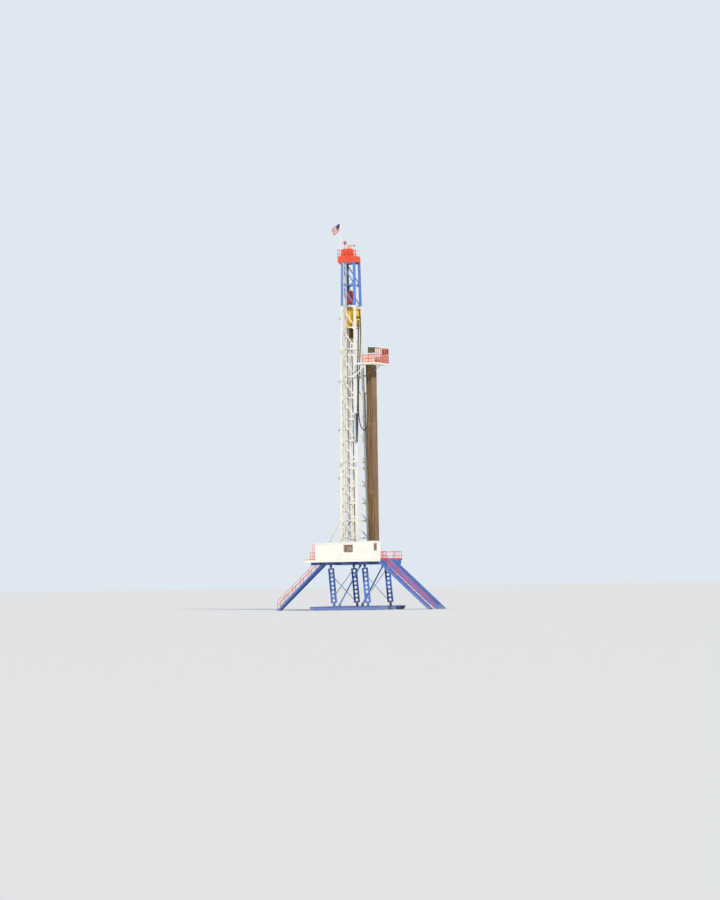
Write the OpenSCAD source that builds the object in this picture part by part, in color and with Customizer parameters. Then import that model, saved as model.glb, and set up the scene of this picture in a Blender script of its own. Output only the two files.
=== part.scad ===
// Land drilling rig with a four-legged open-front mast, as a 1:2 scale model in millimetres.
// The well centre is the Z axis, the ground is z = 0 and +X points down the pipe ramp.

/* [Substructure] */
// Height of the drill floor above the ground
floor_z = 3600; // [3400:50:4000]
// Half width of the drill floor
floor_hy = 2200; // [2150:10:2300]
// Distance from the well centre to the ramp edge of the floor
floor_front = 2750; // [2700:10:2900]
// Distance from the well centre to the rear edge of the floor
floor_rear = 2600; // [2500:10:2800]
// Depth of the floor beams
floor_beam_h = 300; // [260:10:340]
// Thickness of the floor plate
deck_t = 40; // [30:5:60]
// Height of the base skids
skid_h = 275; // [240:5:320]
// Width of the base skids
skid_w = 260; // [220:10:300]
// Distance from the rig's centre plane to each base skid and its columns
side_y = 1950; // [1900:10:2000]
// Width of a floor column
column_w = 400; // [340:20:440]
// Length by which the columns lean back between their pins
column_lean = 230; // [150:10:280]

/* [Mast] */
// Height of the crown beams' underside above the ground
crown_z = 25145; // [25000:5:25400]
// Half depth of the mast at the floor, between leg centres
mast_base_hx = 655; // [640:5:690]
// Half width of the mast at the floor, between leg centres
mast_base_hy = 950; // [930:5:980]
// Half depth of the mast at the crown, between leg centres
mast_top_hx = 470; // [460:5:480]
// Half width of the mast at the crown, between leg centres
mast_top_hy = 430; // [425:5:450]
// Outer width of a mast leg
leg_w = 150; // [130:5:160]
// Width of the horizontal members
girt_w = 80; // [60:5:90]
// Width of the diagonal members
diag_w = 64; // [50:2:70]
// Pitch of the ladder rungs
rung_pitch = 150; // [140:5:170]

/* [Pipe handling] */
// Height of the racking board above the ground
board_z = 17750; // [17600:50:17800]
// Half width of the racking board
board_hy = 1180; // [1150:10:1250]
// Distance from the well centre to the outer end of the racking board
board_front = 2375; // [2350:5:2500]
// Diameter of the drill pipe
pipe_d = 63.5; // [50:0.5:66]
// Diameter of the drill pipe's tool joints
joint_d = 84; // [76:1:88]
// Pitch of the racked stands
stand_pitch = 95; // [93:1:98]
// Length of one stand of pipe
stand_l = 14500; // [14300:50:14700]

/* [Hoisting] */
// Height of the elevator's lower face above the ground with the hoist at rest
elevator_z = 19350; // [19000:50:19500]
// Diameter of the drilling line
line_d = 24; // [16:1:28]
// Width of the top drive
drive_w = 700; // [640:10:720]

/* [Doghouse] */
// Length of the doghouse
dog_l = 4400; // [4200:50:4450]
// Width of the doghouse
dog_w = 1520; // [1450:10:1550]
// Height of the doghouse walls at the ramp end
dog_h = 1240; // [1200:10:1300]
// Fall of the doghouse roof towards its rear end
dog_fall = 120; // [0:10:150]
// Thickness of the doghouse walls
dog_wall = 50; // [40:5:60]
// Length of the porch behind the doghouse
porch_l = 800; // [700:10:850]

/* [Ramps and stairs] */
// Width of the pipe ramp
ramp_w = 1150; // [1100:10:1200]
// Slope of the ramp and stairs in degrees
slope = 42; // [40:1:45]
// Width of the stairs
stair_w = 450; // [420:10:480]
// Number of treads in a flight
treads = 35; // [33:1:36]
// Height of the handrails
rail_h = 560; // [520:10:600]

/* [Hidden] */

seat = 0.2; // gap between bolted or pinned pieces
eps = 1; // overlap of members that are welded together

// Substructure
base_x0 = -2700;
base_x1 = 3000;
floor_frame_z = floor_z - deck_t - floor_beam_h;
deck_z = floor_z - deck_t;
pin_up = 110;
pin_r = 36;
pin_fit = 0.3;
lug_t = 60;
cheek_t = 30;
clevis_w = 150;
lug_w = 130;
lug_gap = lug_t + 2 * seat;
column_z0 = skid_h + pin_up;
column_z1 = floor_frame_z - pin_up;
column_hole_r = 0.27 * column_w;
rear_column_x = -800;
front_column_x = 1870;
brace_foot_x = -380;
brace_head_x = 1290;
brace_d = 100;
rotary_half = 425;
rotary_bore = 349.25;
rotary_h = 80;
beam_w = 150;
stringer_y = 620;

// Mast levels: a lower, a middle and an upper section with a splice between each two
lower_bay = 1260;
middle_bay = 1540;
upper_bay = 1560;
splice_h = 460;
foot_up = 150;
first_girt_z = floor_z + 1585;
splice_1 = first_girt_z + 4 * lower_bay + splice_h / 2;
splice_2 = splice_1 + splice_h + 5 * middle_bay;
lower_levels = [for (i = [0:4]) first_girt_z + i * lower_bay];
middle_levels = [for (i = [0:5]) splice_1 + splice_h / 2 + i * middle_bay];
upper_first = splice_2 + splice_h / 2;
upper_levels = [upper_first, upper_first + upper_bay, upper_first + 2 * upper_bay,
  upper_first + 3 * upper_bay, crown_z - girt_w / 2];
splice_t = 20;
splice_plate_l = 400;
ladder_x = -250;
leg_web = 20;
leg_flange = 22;
weld_drop = 20; // height by which a diagonal meets its girt off the girt's axis

strut_foot_x = -2260;
strut_head_z = floor_z + 2800;
strut_head_x = -hx(strut_head_z) - leg_w / 2 - 90;
strut_y = hy(strut_head_z);
strut_d = 110;
strut_pin_r = 25;
strut_lug_t = 40;

// Crown
crown_h = 380;
crown_x0 = -800;
crown_x1 = 470;
crown_hy = 520;
crown_top = crown_z + crown_h;
line_sheave_r = 230;
sheave_t = 44;
sheave_pitch = 56;
sheave_count = 6;
sheave_bore_r = 60;
sheave_z = crown_top + 240;
housing_x0 = -540;
housing_x1 = 160;
housing_h = 640;
line_slot_hx = line_sheave_r + line_d + 20;
davit_x = -345;
davit_y = 340;
davit_h = 930;
pole_x = crown_x0 + 190;
pole_y = -crown_hy + 90;
pole_h = 2550;

// Racking board
board_back = 700;
board_beam = 90;
first_row = 1000;
rows = 6;
stands_in_row = 8;
first_stand_y = 250;
slots = 10;
finger_w = 24;
finger_h = 60;
walk_hy = 180;
panel_h = 560;
guard_h = 1080;
guard_w = 36;
screen_l = 560;
arm_x = 760;
arm_y = 1000;
arm_z = board_z - 816;

// Hoisting
block_w = 260;
block_hx = 265;
drum_x = -1380;
drum_r = 220;
drum_z = floor_z + 480;
line_x = -mast_top_hx - girt_w / 2 - 60;
anchor = [-870, 700];
drive_z0 = elevator_z + 1140;
drive_h = 1480;
drive_top = drive_z0 + drive_h;
drive_x0 = -280;
drive_x1 = 540;
quill_h = 180;
quill_z = drive_z0 - seat - quill_h;
quill_bore = 80;
wrench_h = 640;
stem_top = quill_z + quill_h - 80 - seat;
block_z0 = drive_top + 170;
block_h = 950;
block_top = block_z0 + block_h;
block_sheave_z = block_top - 330;
rail_x = -370;
rail_w = 60;
rail_foot_z = floor_z + 1400;
line_count = 8;
line_pitch = 56;

// Doghouse
dog_x0 = -1400;
dog_y1 = -floor_hy - 2;
dog_y0 = dog_y1 - dog_w;
dog_base_h = 150;
bracket_xs = [-550, 800, 2050];
bracket_h = 200;
door_w = 420;
door_h = 1020;
door_x = 1900;
window_w = 640;
window_h = 460;
window_sill = 560;
window_x = 880;
side_window_w = 480;
side_window_y = 440;
side_window_h = 440;
side_sill = 660;

// Ramp and stairs
ramp_run = floor_z / tan(slope);
tread_rise = floor_z / (treads + 1);
tread_d = 115;
front_stair_y = -1720;
rear_stair_y = 550;
post_r = 17;

// Rotary hose: hangs from the top drive, turns under and climbs to the standpipe
hose_d = 70;
hose_route = [
  [600, 130, 21700], [612, 132, 21400], [640, 130, 21000], [655, 110, 20300], [655, 40, 19300],
  [652, -70, 18300], [648, -200, 17200], [642, -330, 16000], [640, -400, 14900], [652, -390, 14000],
  [690, -240, 13350], [740, 60, 13020], [790, 400, 13020], [825, 700, 13350], [835, 890, 13900],
  [820, 980, 14600], [780, 1010, 15200], [722, 985, 15600], [700, 880, 15680]
];
hose_start = hose_route[0];
hose_end = hose_route[len(hose_route) - 1];
// Service loop: hangs from the top drive and climbs to a bracket on the mast
loop_d = 90;
loop_route = [
  [590, -130, 20940], [600, -135, 20600], [620, -200, 19800], [630, -320, 18600],
  [640, -440, 17400], [690, -590, 15600], [705, -690, 14000], [705, -770, 13000], [700, -820, 12500],
  [702, -860, 12200], [715, -920, 12110], [730, -980, 12200], [740, -1010, 12500],
  [735, -1010, 13000], [715, -960, 13700], [700, -930, 14150]
];
loop_start = loop_route[0];
loop_end = loop_route[len(loop_route) - 1];

// Standpipe
standpipe_d = 80;
pipe_out = leg_w / 2 + 45;
bend_r = 90;
standpipe_top = [hx(hose_end.z - bend_r) + pipe_out, hy(hose_end.z - bend_r), hose_end.z - bend_r];

function lerp(a, b, t) = a + (b - a) * t;
function mast_t(z) = (z - floor_z) / (crown_z - floor_z);
function hx(z) = lerp(mast_base_hx, mast_top_hx, mast_t(z));
function hy(z) = lerp(mast_base_hy, mast_top_hy, mast_t(z));
// Plane just in front of the front legs for a piece whose lowest point is at height z
function leg_face_x(z) = hx(z) + leg_w / 2 + seat;

// Stands children on the line from p to q, with Z along it and X and Y kept near the frame's own
module along(p, q) {
  v = q - p;
  translate(p)
    rotate([-asin(v.y / norm(v)), atan2(v.x, v.z), 0])
      children();
}

// Stands children on the line from p to q, turned about Y alone, so that a pin along Y stays level
module along_level(p, q) {
  v = q - p;
  translate(p)
    rotate([0, atan2(v.x, v.z), 0])
      children();
}

// Square bar from p to q
module bar(p, q, w) {
  l = norm(q - p);
  along(p, q)
    translate([-w / 2, -w / 2, 0])
      cube([w, w, l]);
}

// Square bar from p to q that runs on by extra at both ends
module long_bar(p, q, w, extra) {
  u = (q - p) / norm(q - p);
  bar(p - extra * u, q + extra * u, w);
}

// Round bar from p to q
module rod(p, q, d, sides = 8) {
  along(p, q)
    cylinder(d = d, h = norm(q - p), $fn = sides);
}

// Box given by its two corners
module box(a, b) {
  translate(a)
    cube(b - a);
}

// Wide-flange profile with its flanges at +Y and -Y
module wide_flange(w, d, web, flange) {
  difference() {
    square([w, d], center = true);
    for (s = [-1, 1])
      translate([s * (w + web) / 4 + s * eps / 2, 0])
        square([(w - web) / 2 + eps, d - 2 * flange], center = true);
  }
}

// Plate in the XZ plane with a bored eye at its end, pointing down from the height l
module eye_plate(l, w, t, bore) {
  rotate([90, 0, 0])
    linear_extrude(t, center = true)
      difference() {
        union() {
          circle(r = w / 2, $fn = 48);
          translate([-w / 2, 0])
            square([w, l]);
        }
        circle(r = bore, $fn = 48);
      }
}

// Two cheeks and a pin standing on z = 0, with the pin at the height up
module clevis(up, w, gap, r) {
  for (s = [-1, 1])
    translate([0, s * (gap + cheek_t) / 2, 0])
      rotate([90, 0, 0])
        linear_extrude(cheek_t, center = true)
          union() {
            translate([0, up])
              circle(r = w / 2, $fn = 48);
            translate([-w / 2, 0])
              square([w, up]);
          }
  translate([0, 0, up])
    rotate([90, 0, 0])
      cylinder(r = r, h = gap + 2 * cheek_t + 24, center = true, $fn = 48);
}

// Welded base: two skids along the rig, joined by spreaders, with the column pins on top
module base_frame() {
  color("royalblue") {
    difference() {
      union() {
        for (s = [-1, 1])
          box([base_x0, s * side_y - skid_w / 2, 0], [base_x1, s * side_y + skid_w / 2, skid_h]);
        for (x = [base_x0 + 300, -950, 750, base_x1 - 300])
          box([x - 90, -side_y, 0], [x + 90, side_y, skid_h]);
      }
      for (s = [-1, 1], side = [-1, 1])
        for (x = [base_x0 - 1, base_x1 + 1])
          translate([x, s * side_y, 0])
            rotate([90, 45, 0])
              cube([240, 240, skid_w + 2], center = true);
    }
    for (s = [-1, 1]) {
      for (x = [rear_column_x, front_column_x])
        translate([x, s * side_y, skid_h])
          clevis(pin_up, clevis_w, lug_gap, pin_r);
      translate([brace_foot_x, s * side_y, skid_h])
        clevis(pin_up, clevis_w, lug_gap, pin_r);
    }
  }
}

// Leaning column between its two pins: flanges fore and aft, and a web with lightening holes
module floor_column(x, y) {
  p = [x, y, column_z0];
  q = [x - column_lean, y, column_z1];
  l = norm(q - p);
  holes = 8;
  along(p, q) {
    difference() {
      translate([0, 0, 130])
        linear_extrude(l - 260)
          rotate([0, 0, 90])
            wide_flange(180, column_w, 30, 24);
      for (i = [0:holes - 1])
        translate([0, 0, 330 + i * (l - 660) / (holes - 1)])
          rotate([90, 0, 0])
            cylinder(r = column_hole_r, h = 60, center = true, $fn = 32);
    }
    eye_plate(150, lug_w, lug_t, pin_r + pin_fit);
    translate([0, 0, l])
      mirror([0, 0, 1])
        eye_plate(150, lug_w, lug_t, pin_r + pin_fit);
  }
}

module floor_columns() {
  color("royalblue")
    for (s = [-1, 1], x = [rear_column_x, front_column_x])
      floor_column(x, s * side_y);
}

// Pinned diagonal in each side, and a cross of flat bars behind each pair of columns
module leg_braces() {
  color("royalblue") {
    for (s = [-1, 1]) {
      p = [brace_foot_x, s * side_y, column_z0];
      q = [brace_head_x, s * side_y, column_z1];
      l = norm(q - p);
      along(p, q) {
        translate([0, 0, 100])
          cylinder(d = brace_d, h = l - 200, $fn = 24);
        eye_plate(130, 110, lug_t, pin_r + pin_fit);
        translate([0, 0, l])
          mirror([0, 0, 1])
            eye_plate(130, 110, lug_t, pin_r + pin_fit);
      }
    }
    for (x = [rear_column_x, front_column_x])
      along([x, 0, column_z0], [x - column_lean, 0, column_z1])
        translate([-column_w / 2 - seat - 15, 0, 0])
          for (s = [-1, 1])
            bar([0, -s * (side_y + 60), 330], [0, s * (side_y + 60), column_z1 - column_z0 - 330], 30);
  }
}

// Floor beams welded into one grid, with the column pins below
module floor_frame() {
  color("#3f6ea8") {
    for (s = [-1, 1])
      difference() {
        box([-floor_rear, s * side_y - beam_w / 2, floor_frame_z],
          [floor_front, s * side_y + beam_w / 2, deck_z]);
        for (t = [-1, 1])
          box([-floor_rear - 1, s * side_y + (t > 0 ? 20 : -beam_w / 2 - 1), floor_frame_z + 30],
            [floor_front + 1, s * side_y + (t > 0 ? beam_w / 2 + 1 : -20), deck_z - 30]);
      }
    for (s = [-1, 1])
      box([-floor_rear + 60, s * stringer_y - 50, floor_frame_z + 60],
        [floor_front - 60, s * stringer_y + 50, deck_z]);
    for (x = [-floor_rear + 60, rear_column_x - column_lean, -rotary_half - 70, rotary_half + 70,
          front_column_x - column_lean, floor_front - 60])
      box([x - 60, -side_y, floor_frame_z + 30], [x + 60, side_y, deck_z]);
    for (s = [-1, 1]) {
      for (x = [rear_column_x - column_lean, front_column_x - column_lean])
        translate([x, s * side_y, floor_frame_z])
          mirror([0, 0, 1])
            clevis(pin_up, clevis_w, lug_gap, pin_r);
      translate([brace_head_x, s * side_y, floor_frame_z])
        mirror([0, 0, 1])
          clevis(pin_up, clevis_w, lug_gap, pin_r);
    }
  }
}

// Floor plate with the square opening for the rotary table
module deck() {
  color("dimgray")
    difference() {
      box([-floor_rear, -floor_hy, deck_z], [floor_front, floor_hy, floor_z]);
      translate([0, 0, deck_z])
        cube([2 * rotary_half, 2 * rotary_half, 4 * deck_t], center = true);
    }
}

// Rotary table: square housing with the turntable ring proud of it and the through bore
module rotary_table() {
  color("firebrick")
    difference() {
      union() {
        box([-rotary_half + seat, -rotary_half + seat, deck_z - 160],
          [rotary_half - seat, rotary_half - seat, floor_z + rotary_h - 30]);
        cylinder(d = 2 * rotary_half - 130, h = floor_z + rotary_h, $fn = 64);
      }
      translate([0, 0, -1])
        cylinder(d = rotary_bore, h = floor_z + rotary_h + 2, $fn = 64);
      translate([-rotary_half, -rotary_half, -1])
        cube([2 * rotary_half, 2 * rotary_half, deck_z - 159]);
    }
}

// Timber pads under the racked pipe, one each side of the centre walk
module setback() {
  color("saddlebrown")
    for (s = [-1, 1])
      box([first_row - 110, s > 0 ? 150 : -1150, floor_z],
        [first_row + 820, s > 0 ? 1150 : -150, floor_z + 50]);
}

// Flat side of the mast between two heights: two legs, girts at the levels and falling diagonals.
// Below a splice each leg carries the plate that laps onto the next leg up.
module mast_side(side, z0, z1, levels, top_joint) {
  for (sx = [-1, 1]) {
    p = [sx * hx(z0), side * hy(z0), z0];
    q = [sx * hx(z1), side * hy(z1), z1];
    l = norm(q - p);
    along(p, q) {
      linear_extrude(top_joint ? l - seat : l - leg_w / 50)
        wide_flange(leg_w, leg_w, leg_web, leg_flange);
      if (top_joint)
        difference() {
          translate([0, side * (leg_w + splice_t) / 2, l])
            cube([leg_w - 30, splice_t, splice_plate_l], center = true);
          translate([0, side * leg_w / 2, l + splice_plate_l / 2])
            cube([leg_w, 2 * seat, splice_plate_l], center = true);
        }
    }
  }
  for (z = levels)
    box([-hx(z), side * hy(z) - girt_w / 2, z - girt_w / 2],
      [hx(z), side * hy(z) + girt_w / 2, z + girt_w / 2]);
  for (i = [0:len(levels) - 2])
    if (levels[i + 1] - levels[i] > 4 * girt_w)
      bar([-hx(levels[i + 1]), side * hy(levels[i + 1]), levels[i + 1] - weld_drop],
        [hx(levels[i]), side * hy(levels[i]), levels[i] + weld_drop], diag_w);
}

// Lug on the rear leg that takes the head of a back strut
module strut_lug(side) {
  translate([strut_head_x, side * hy(strut_head_z), strut_head_z])
    rotate([0, 90, 0])
      eye_plate(leg_w / 2 + 85, 120, strut_lug_t, strut_pin_r + pin_fit);
}

// Foot of a mast leg: a lug below the rolled section
module leg_foot(sx, side) {
  p = [sx * hx(floor_z + foot_up), side * hy(floor_z + foot_up), floor_z + foot_up];
  q = [sx * hx(splice_1), side * hy(splice_1), splice_1];
  along_level(p, q)
    eye_plate(220, lug_w, lug_t, pin_r + pin_fit);
}

module mast_side_lower(side) {
  color("ghostwhite") {
    mast_side(side, floor_z + foot_up + 120, splice_1, lower_levels, true);
    for (sx = [-1, 1])
      leg_foot(sx, side);
    strut_lug(side);
  }
}

module mast_side_middle(side) {
  color("ghostwhite") {
    mast_side(side, splice_1, splice_2, middle_levels, true);
    if (side < 0)
      for (reach = [[loop_end.x + 70, loop_end.y + 70], [hx(loop_end.z) + 70, -hy(loop_end.z) - 10]])
        box([hx(loop_end.z), loop_end.y - 80, loop_end.z], [reach.x, reach.y, loop_end.z + 80]);
  }
}

module mast_side_upper(side) {
  color("ghostwhite")
    mast_side(side, splice_2, crown_z, upper_levels, false);
}

// Flat back of the mast: girts, lighter ones half way between them, and diagonals, all cut to seat
// on the legs' inner flanges
module mast_back(levels) {
  z0 = levels[0] - 200;
  z1 = levels[len(levels) - 1] + 200;
  cut = leg_w / 2 + seat;
  color("ghostwhite")
    intersection() {
      union() {
        for (z = levels)
          box([-hx(z) - girt_w / 2, -hy(z), z - girt_w / 2], [-hx(z) + girt_w / 2, hy(z), z + girt_w / 2]);
        for (i = [0:len(levels) - 2])
          if (levels[i + 1] - levels[i] > 4 * girt_w) {
            mid = (levels[i] + levels[i + 1]) / 2;
            long_bar([-hx(levels[i + 1]), -hy(levels[i + 1]) + cut, levels[i + 1] - weld_drop],
              [-hx(levels[i]), hy(levels[i]) - cut, levels[i] + weld_drop], diag_w, diag_w);
            box([-hx(mid) - diag_w / 2, -hy(mid), mid - diag_w / 2],
              [-hx(mid) + diag_w / 2, hy(mid), mid + diag_w / 2]);
          }
      }
      translate([-2000, 0, 0])
        rotate([90, 0, 90])
          linear_extrude(4000)
            polygon([[-hy(z0) + cut, z0], [hy(z0) - cut, z0], [hy(z1) - cut, z1], [-hy(z1) + cut, z1]]);
    }
}

// Shoes on the deck that the mast legs and the back struts are pinned to
module mast_shoes() {
  color("ghostwhite") {
    for (sx = [-1, 1], side = [-1, 1])
      translate([sx * hx(floor_z + foot_up), side * hy(floor_z + foot_up), floor_z]) {
        translate([-130, -110, 0])
          cube([260, 220, 24]);
        clevis(foot_up, clevis_w, lug_gap, pin_r);
      }
    for (side = [-1, 1])
      translate([strut_foot_x, side * strut_y, floor_z]) {
        translate([-120, -100, 0])
          cube([240, 200, 24]);
        clevis(foot_up, clevis_w, lug_gap, strut_pin_r);
      }
  }
}

// Raking struts from the floor to the rear legs, forked over the lug at the head
module back_struts() {
  fork_t = 24;
  color("ghostwhite")
    for (side = [-1, 1]) {
      p = [strut_foot_x, side * strut_y, floor_z + foot_up];
      q = [strut_head_x, side * strut_y, strut_head_z];
      l = norm(q - p);
      along_level(p, q) {
        translate([0, 0, 90])
          cylinder(d = strut_d, h = l - 260, $fn = 24);
        eye_plate(120, 110, lug_t, strut_pin_r + pin_fit);
        translate([0, 0, l - 190])
          cube([90, 110, 40], center = true);
        for (s = [-1, 1])
          translate([0, s * (strut_lug_t / 2 + seat + fork_t / 2), l])
            rotate([90, 0, 0])
              linear_extrude(fork_t, center = true)
                union() {
                  circle(d = 90, $fn = 48);
                  translate([-45, -200])
                    square([90, 200]);
                }
        translate([0, 0, l])
          rotate([90, 0, 0])
            cylinder(r = strut_pin_r, h = strut_lug_t + 2 * fork_t + 24, center = true, $fn = 48);
      }
    }
}

// Ladder on the near side of the mast, in one length per section
module ladder_length(z0, z1) {
  out = girt_w / 2 * (1 + (mast_base_hy - mast_top_hy) / (crown_z - floor_z)) + seat + 20;
  p = [ladder_x, -hy(z0) - out, z0];
  q = [ladder_x, -hy(z1) - out, z1];
  l = norm(q - p);
  along(p, q) {
    for (s = [-1, 1])
      translate([s * 110 - 15, -20, 0])
        cube([30, 40, l]);
    for (h = [rung_pitch / 2:rung_pitch:l - 20])
      translate([0, 0, h])
        rotate([0, 90, 0])
          cylinder(d = 22, h = 230, center = true, $fn = 6);
  }
}

module ladder() {
  color("ghostwhite") {
    ladder_length(floor_z + 40, splice_1 - 10);
    ladder_length(splice_1 + 10, splice_2 - 10);
    ladder_length(splice_2 + 10, crown_z - 10);
  }
}

// Crown: beams across the leg tops
module crown_frame() {
  color("orangered") {
    for (s = [-1, 1]) {
      box([crown_x0, s * mast_top_hy - 75, crown_z], [crown_x1 + 80, s * mast_top_hy + 75, crown_top - 24]);
      box([housing_x0 - 60, s * 210 - 30, crown_z + 60], [housing_x1 + 180, s * 210 + 30, crown_top - 24]);
    }
    for (x = [crown_x0 + 60, housing_x0 - 60, rail_x - 15, housing_x1 + 180, crown_x1 + 20])
      box([x - 60, -crown_hy, crown_z + 40], [x + 60, crown_hy, crown_top - 24]);
    difference() {
      box([crown_x0 - 40, -crown_hy, crown_top - 24], [crown_x1 + 90, crown_hy, crown_top]);
      box([-line_slot_hx, -180, crown_top - 30], [line_slot_hx, 180, crown_top + 1]);
    }
    for (s = [-1, 1])
      translate([0, s * 210, crown_top - eps])
        rotate([90, 0, 0])
          linear_extrude(40, center = true)
            difference() {
              polygon([[-280, 0], [280, 0], [110, 330], [-110, 330]]);
              translate([0, sheave_z - crown_top + eps])
                circle(r = sheave_bore_r, $fn = 48);
            }
  }
}

// Grooved sheave about the Y axis
module sheave(r, t, bore) {
  rotate([90, 0, 0])
    rotate_extrude($fn = 64)
      polygon([[bore, -t / 2], [r, -t / 2], [r, -line_d / 2 - 5], [r - line_d, -line_d / 2 - 1],
        [r - line_d, line_d / 2 + 1], [r, line_d / 2 + 5], [r, t / 2], [bore, t / 2]]);
}

// Crown sheaves on their fixed shaft
module crown_sheaves() {
  color("dimgray") {
    for (i = [0:sheave_count - 1])
      translate([0, (i - (sheave_count - 1) / 2) * sheave_pitch, sheave_z])
        sheave(line_sheave_r, sheave_t, sheave_bore_r - 8);
    translate([0, 0, sheave_z])
      rotate([90, 0, 0])
        cylinder(r = sheave_bore_r - 0.2, h = 470, center = true, $fn = 48);
  }
}

// Sheet housing over the crown sheaves, open below
module crown_housing() {
  color("orangered")
    translate([0, 0, crown_top + seat])
      difference() {
        rotate([90, 0, 0])
          linear_extrude(2 * 290, center = true)
            polygon([[housing_x0 - 150, 0], [housing_x1 + 180, 0], [housing_x1 - 10, housing_h],
              [housing_x0 + 40, housing_h]]);
        rotate([90, 0, 0])
          linear_extrude(2 * 276, center = true)
            polygon([[housing_x0 - 132, -1], [housing_x1 + 162, -1], [housing_x1 - 20, housing_h - 14],
              [housing_x0 + 50, housing_h - 14]]);
      }
}

// One run of handrail: posts, top rail, knee rail and toe board between two floor points
module rail_run(p, q, h, posts) {
  up = [0, 0, h];
  for (i = [0:posts - 1]) {
    b = lerp(p, q, i / (posts - 1));
    translate(b)
      cylinder(r = post_r, h = h, $fn = 8);
  }
  rod_between(p + up, q + up, 2 * post_r);
  rod_between(p + up / 2, q + up / 2, 2 * post_r - 6);
}

// Round bar for any direction, also a level one
module rod_between(p, q, d) {
  v = q - p;
  translate(p)
    rotate([0, acos(v.z / norm(v)), atan2(v.y, v.x)])
      cylinder(d = d, h = norm(v), $fn = 8);
}

// Guard rails and the small davit on the crown platform
module crown_rails() {
  z = crown_top;
  x0 = crown_x0 - 10;
  x1 = crown_x1 + 60;
  y = crown_hy - 30;
  color("gainsboro") {
    rail_run([x1, -y, z], [x1, y, z], rail_h, 4);
    rail_run([x0, -y, z], [x1, -y, z], rail_h, 5);
    rail_run([x0, y, z], [x1, y, z], rail_h, 5);
    rail_run([x0, -y, z], [x0, y, z], rail_h, 4);
    translate([davit_x, davit_y, z])
      cylinder(d = 60, h = davit_h + 40, $fn = 8);
    rod_between([davit_x, davit_y, z + davit_h], [davit_x + 560, davit_y, z + davit_h], 46);
    rod_between([davit_x, davit_y, z + davit_h - 260], [davit_x + 260, davit_y, z + davit_h], 30);
  }
}

// Flagpole clamped to the rail of the crown, with the red obstruction light beside it
module flagpole() {
  color("gainsboro")
    translate([pole_x, pole_y, crown_top]) {
      cylinder(d = 90, h = 14, $fn = 24);
      cylinder(d = 34, h = pole_h, $fn = 16);
      translate([0, 0, pole_h])
        sphere(d = 56, $fn = 24);
    }
}

module flag() {
  color("indianred")
    translate([pole_x - 17 - seat - 720, pole_y - 6, crown_top + pole_h - 960])
      cube([720, 12, 930]);
}

// Racking board: side beams, finger bars over the racked pipe, centre walk and front platform
module board_frame() {
  z = board_z;
  color("ghostwhite") {
    for (s = [-1, 1]) {
      box([board_back, s * board_hy - board_beam / 2, z - board_beam],
        [board_front, s * board_hy + board_beam / 2, z]);
      box([leg_face_x(z - board_beam), s * hy(z) - 40, z - board_beam], [board_back + 60, s * hy(z) + 40, z]);
    }
    box([board_back, -board_hy, z - board_beam], [board_back + 80, board_hy, z]);
    box([board_front - 430, -board_hy, z - board_beam], [board_front - 370, board_hy, z]);
    box([board_front - 60, -board_hy, z - board_beam], [board_front, board_hy, z]);
    box([board_front - 430, -board_hy, z - 20], [board_front, board_hy, z]);
    box([board_back + 60, -walk_hy + 30, z - finger_h], [board_front - 400, walk_hy - 30, z]);
    for (s = [-1, 1]) {
      bar([arm_x, s * arm_y, arm_z], [board_front - 700, s * board_hy, z - board_beam + 20], 60);
      hull() {
        box([arm_x - 40, s * arm_y - 40, arm_z - 50], [arm_x + 40, s * arm_y + 40, arm_z + 50]);
        box([leg_face_x(arm_z - 50), s * hy(arm_z) - 60, arm_z - 50],
          [leg_face_x(arm_z - 50) + 20, s * hy(arm_z) + 60, arm_z + 50]);
      }
    }
  }
}

// Finger bars that part the racked stands, each bolted to the inner face of a side beam
module board_fingers() {
  reach = board_hy - board_beam / 2 - seat - walk_hy - 20;
  color("ghostwhite")
    for (i = [0:slots - 1], s = [-1, 1])
      translate([first_row + (i - 0.5) * stand_pitch, s * (walk_hy + 20 + reach / 2), board_z - finger_h / 2])
        cube([finger_w, reach, finger_h], center = true);
}

// Square bar frame in the XZ plane at y, or in the YZ plane at x when turned
module guard_frame(l, levels, posts, bar_w) {
  for (h = levels)
    box([0, -bar_w / 2, h - bar_w / 2], [l, bar_w / 2, h + bar_w / 2]);
  for (i = [0:posts - 1])
    translate([i * (l - bar_w) / (posts - 1), 0, 0])
      box([0, -bar_w / 2, 0], [bar_w, bar_w / 2, levels[len(levels) - 1]]);
}

// Solid panels on both sides of the racking board, and open guard frames above them and in front
module board_panels() {
  z = board_z;
  color("lightsalmon") {
    for (s = [-1, 1]) {
      box([board_back + 650, s * board_hy - 10, z], [board_front, s * board_hy + 10, z + panel_h]);
      translate([board_front - screen_l, s * board_hy, z])
        guard_frame(screen_l, [panel_h, guard_h], 3, guard_w);
    }
    translate([board_front - guard_w / 2, -board_hy - guard_w / 2, z])
      rotate([0, 0, 90])
        guard_frame(2 * board_hy + guard_w, [panel_h / 3, 2 * panel_h / 3, panel_h, guard_h], 8, guard_w);
  }
}

// Wind sheets lashed to the outside of the side guard frames
module board_shelter() {
  color("darkolivegreen")
    for (s = [-1, 1])
      translate([board_front - screen_l, s * (board_hy + guard_w / 2 + seat + 4), board_z + panel_h + 110])
        translate([0, -4, 0])
          cube([screen_l, 8, guard_h - panel_h - 100]);
}

// Small roof on top of the front guard frame
module board_canopy() {
  z = board_z + guard_h + guard_w / 2 + seat;
  color("white")
    box([board_front - 420, -board_hy - 20, z], [board_front + 20, 290, z + 30]);
}

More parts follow.
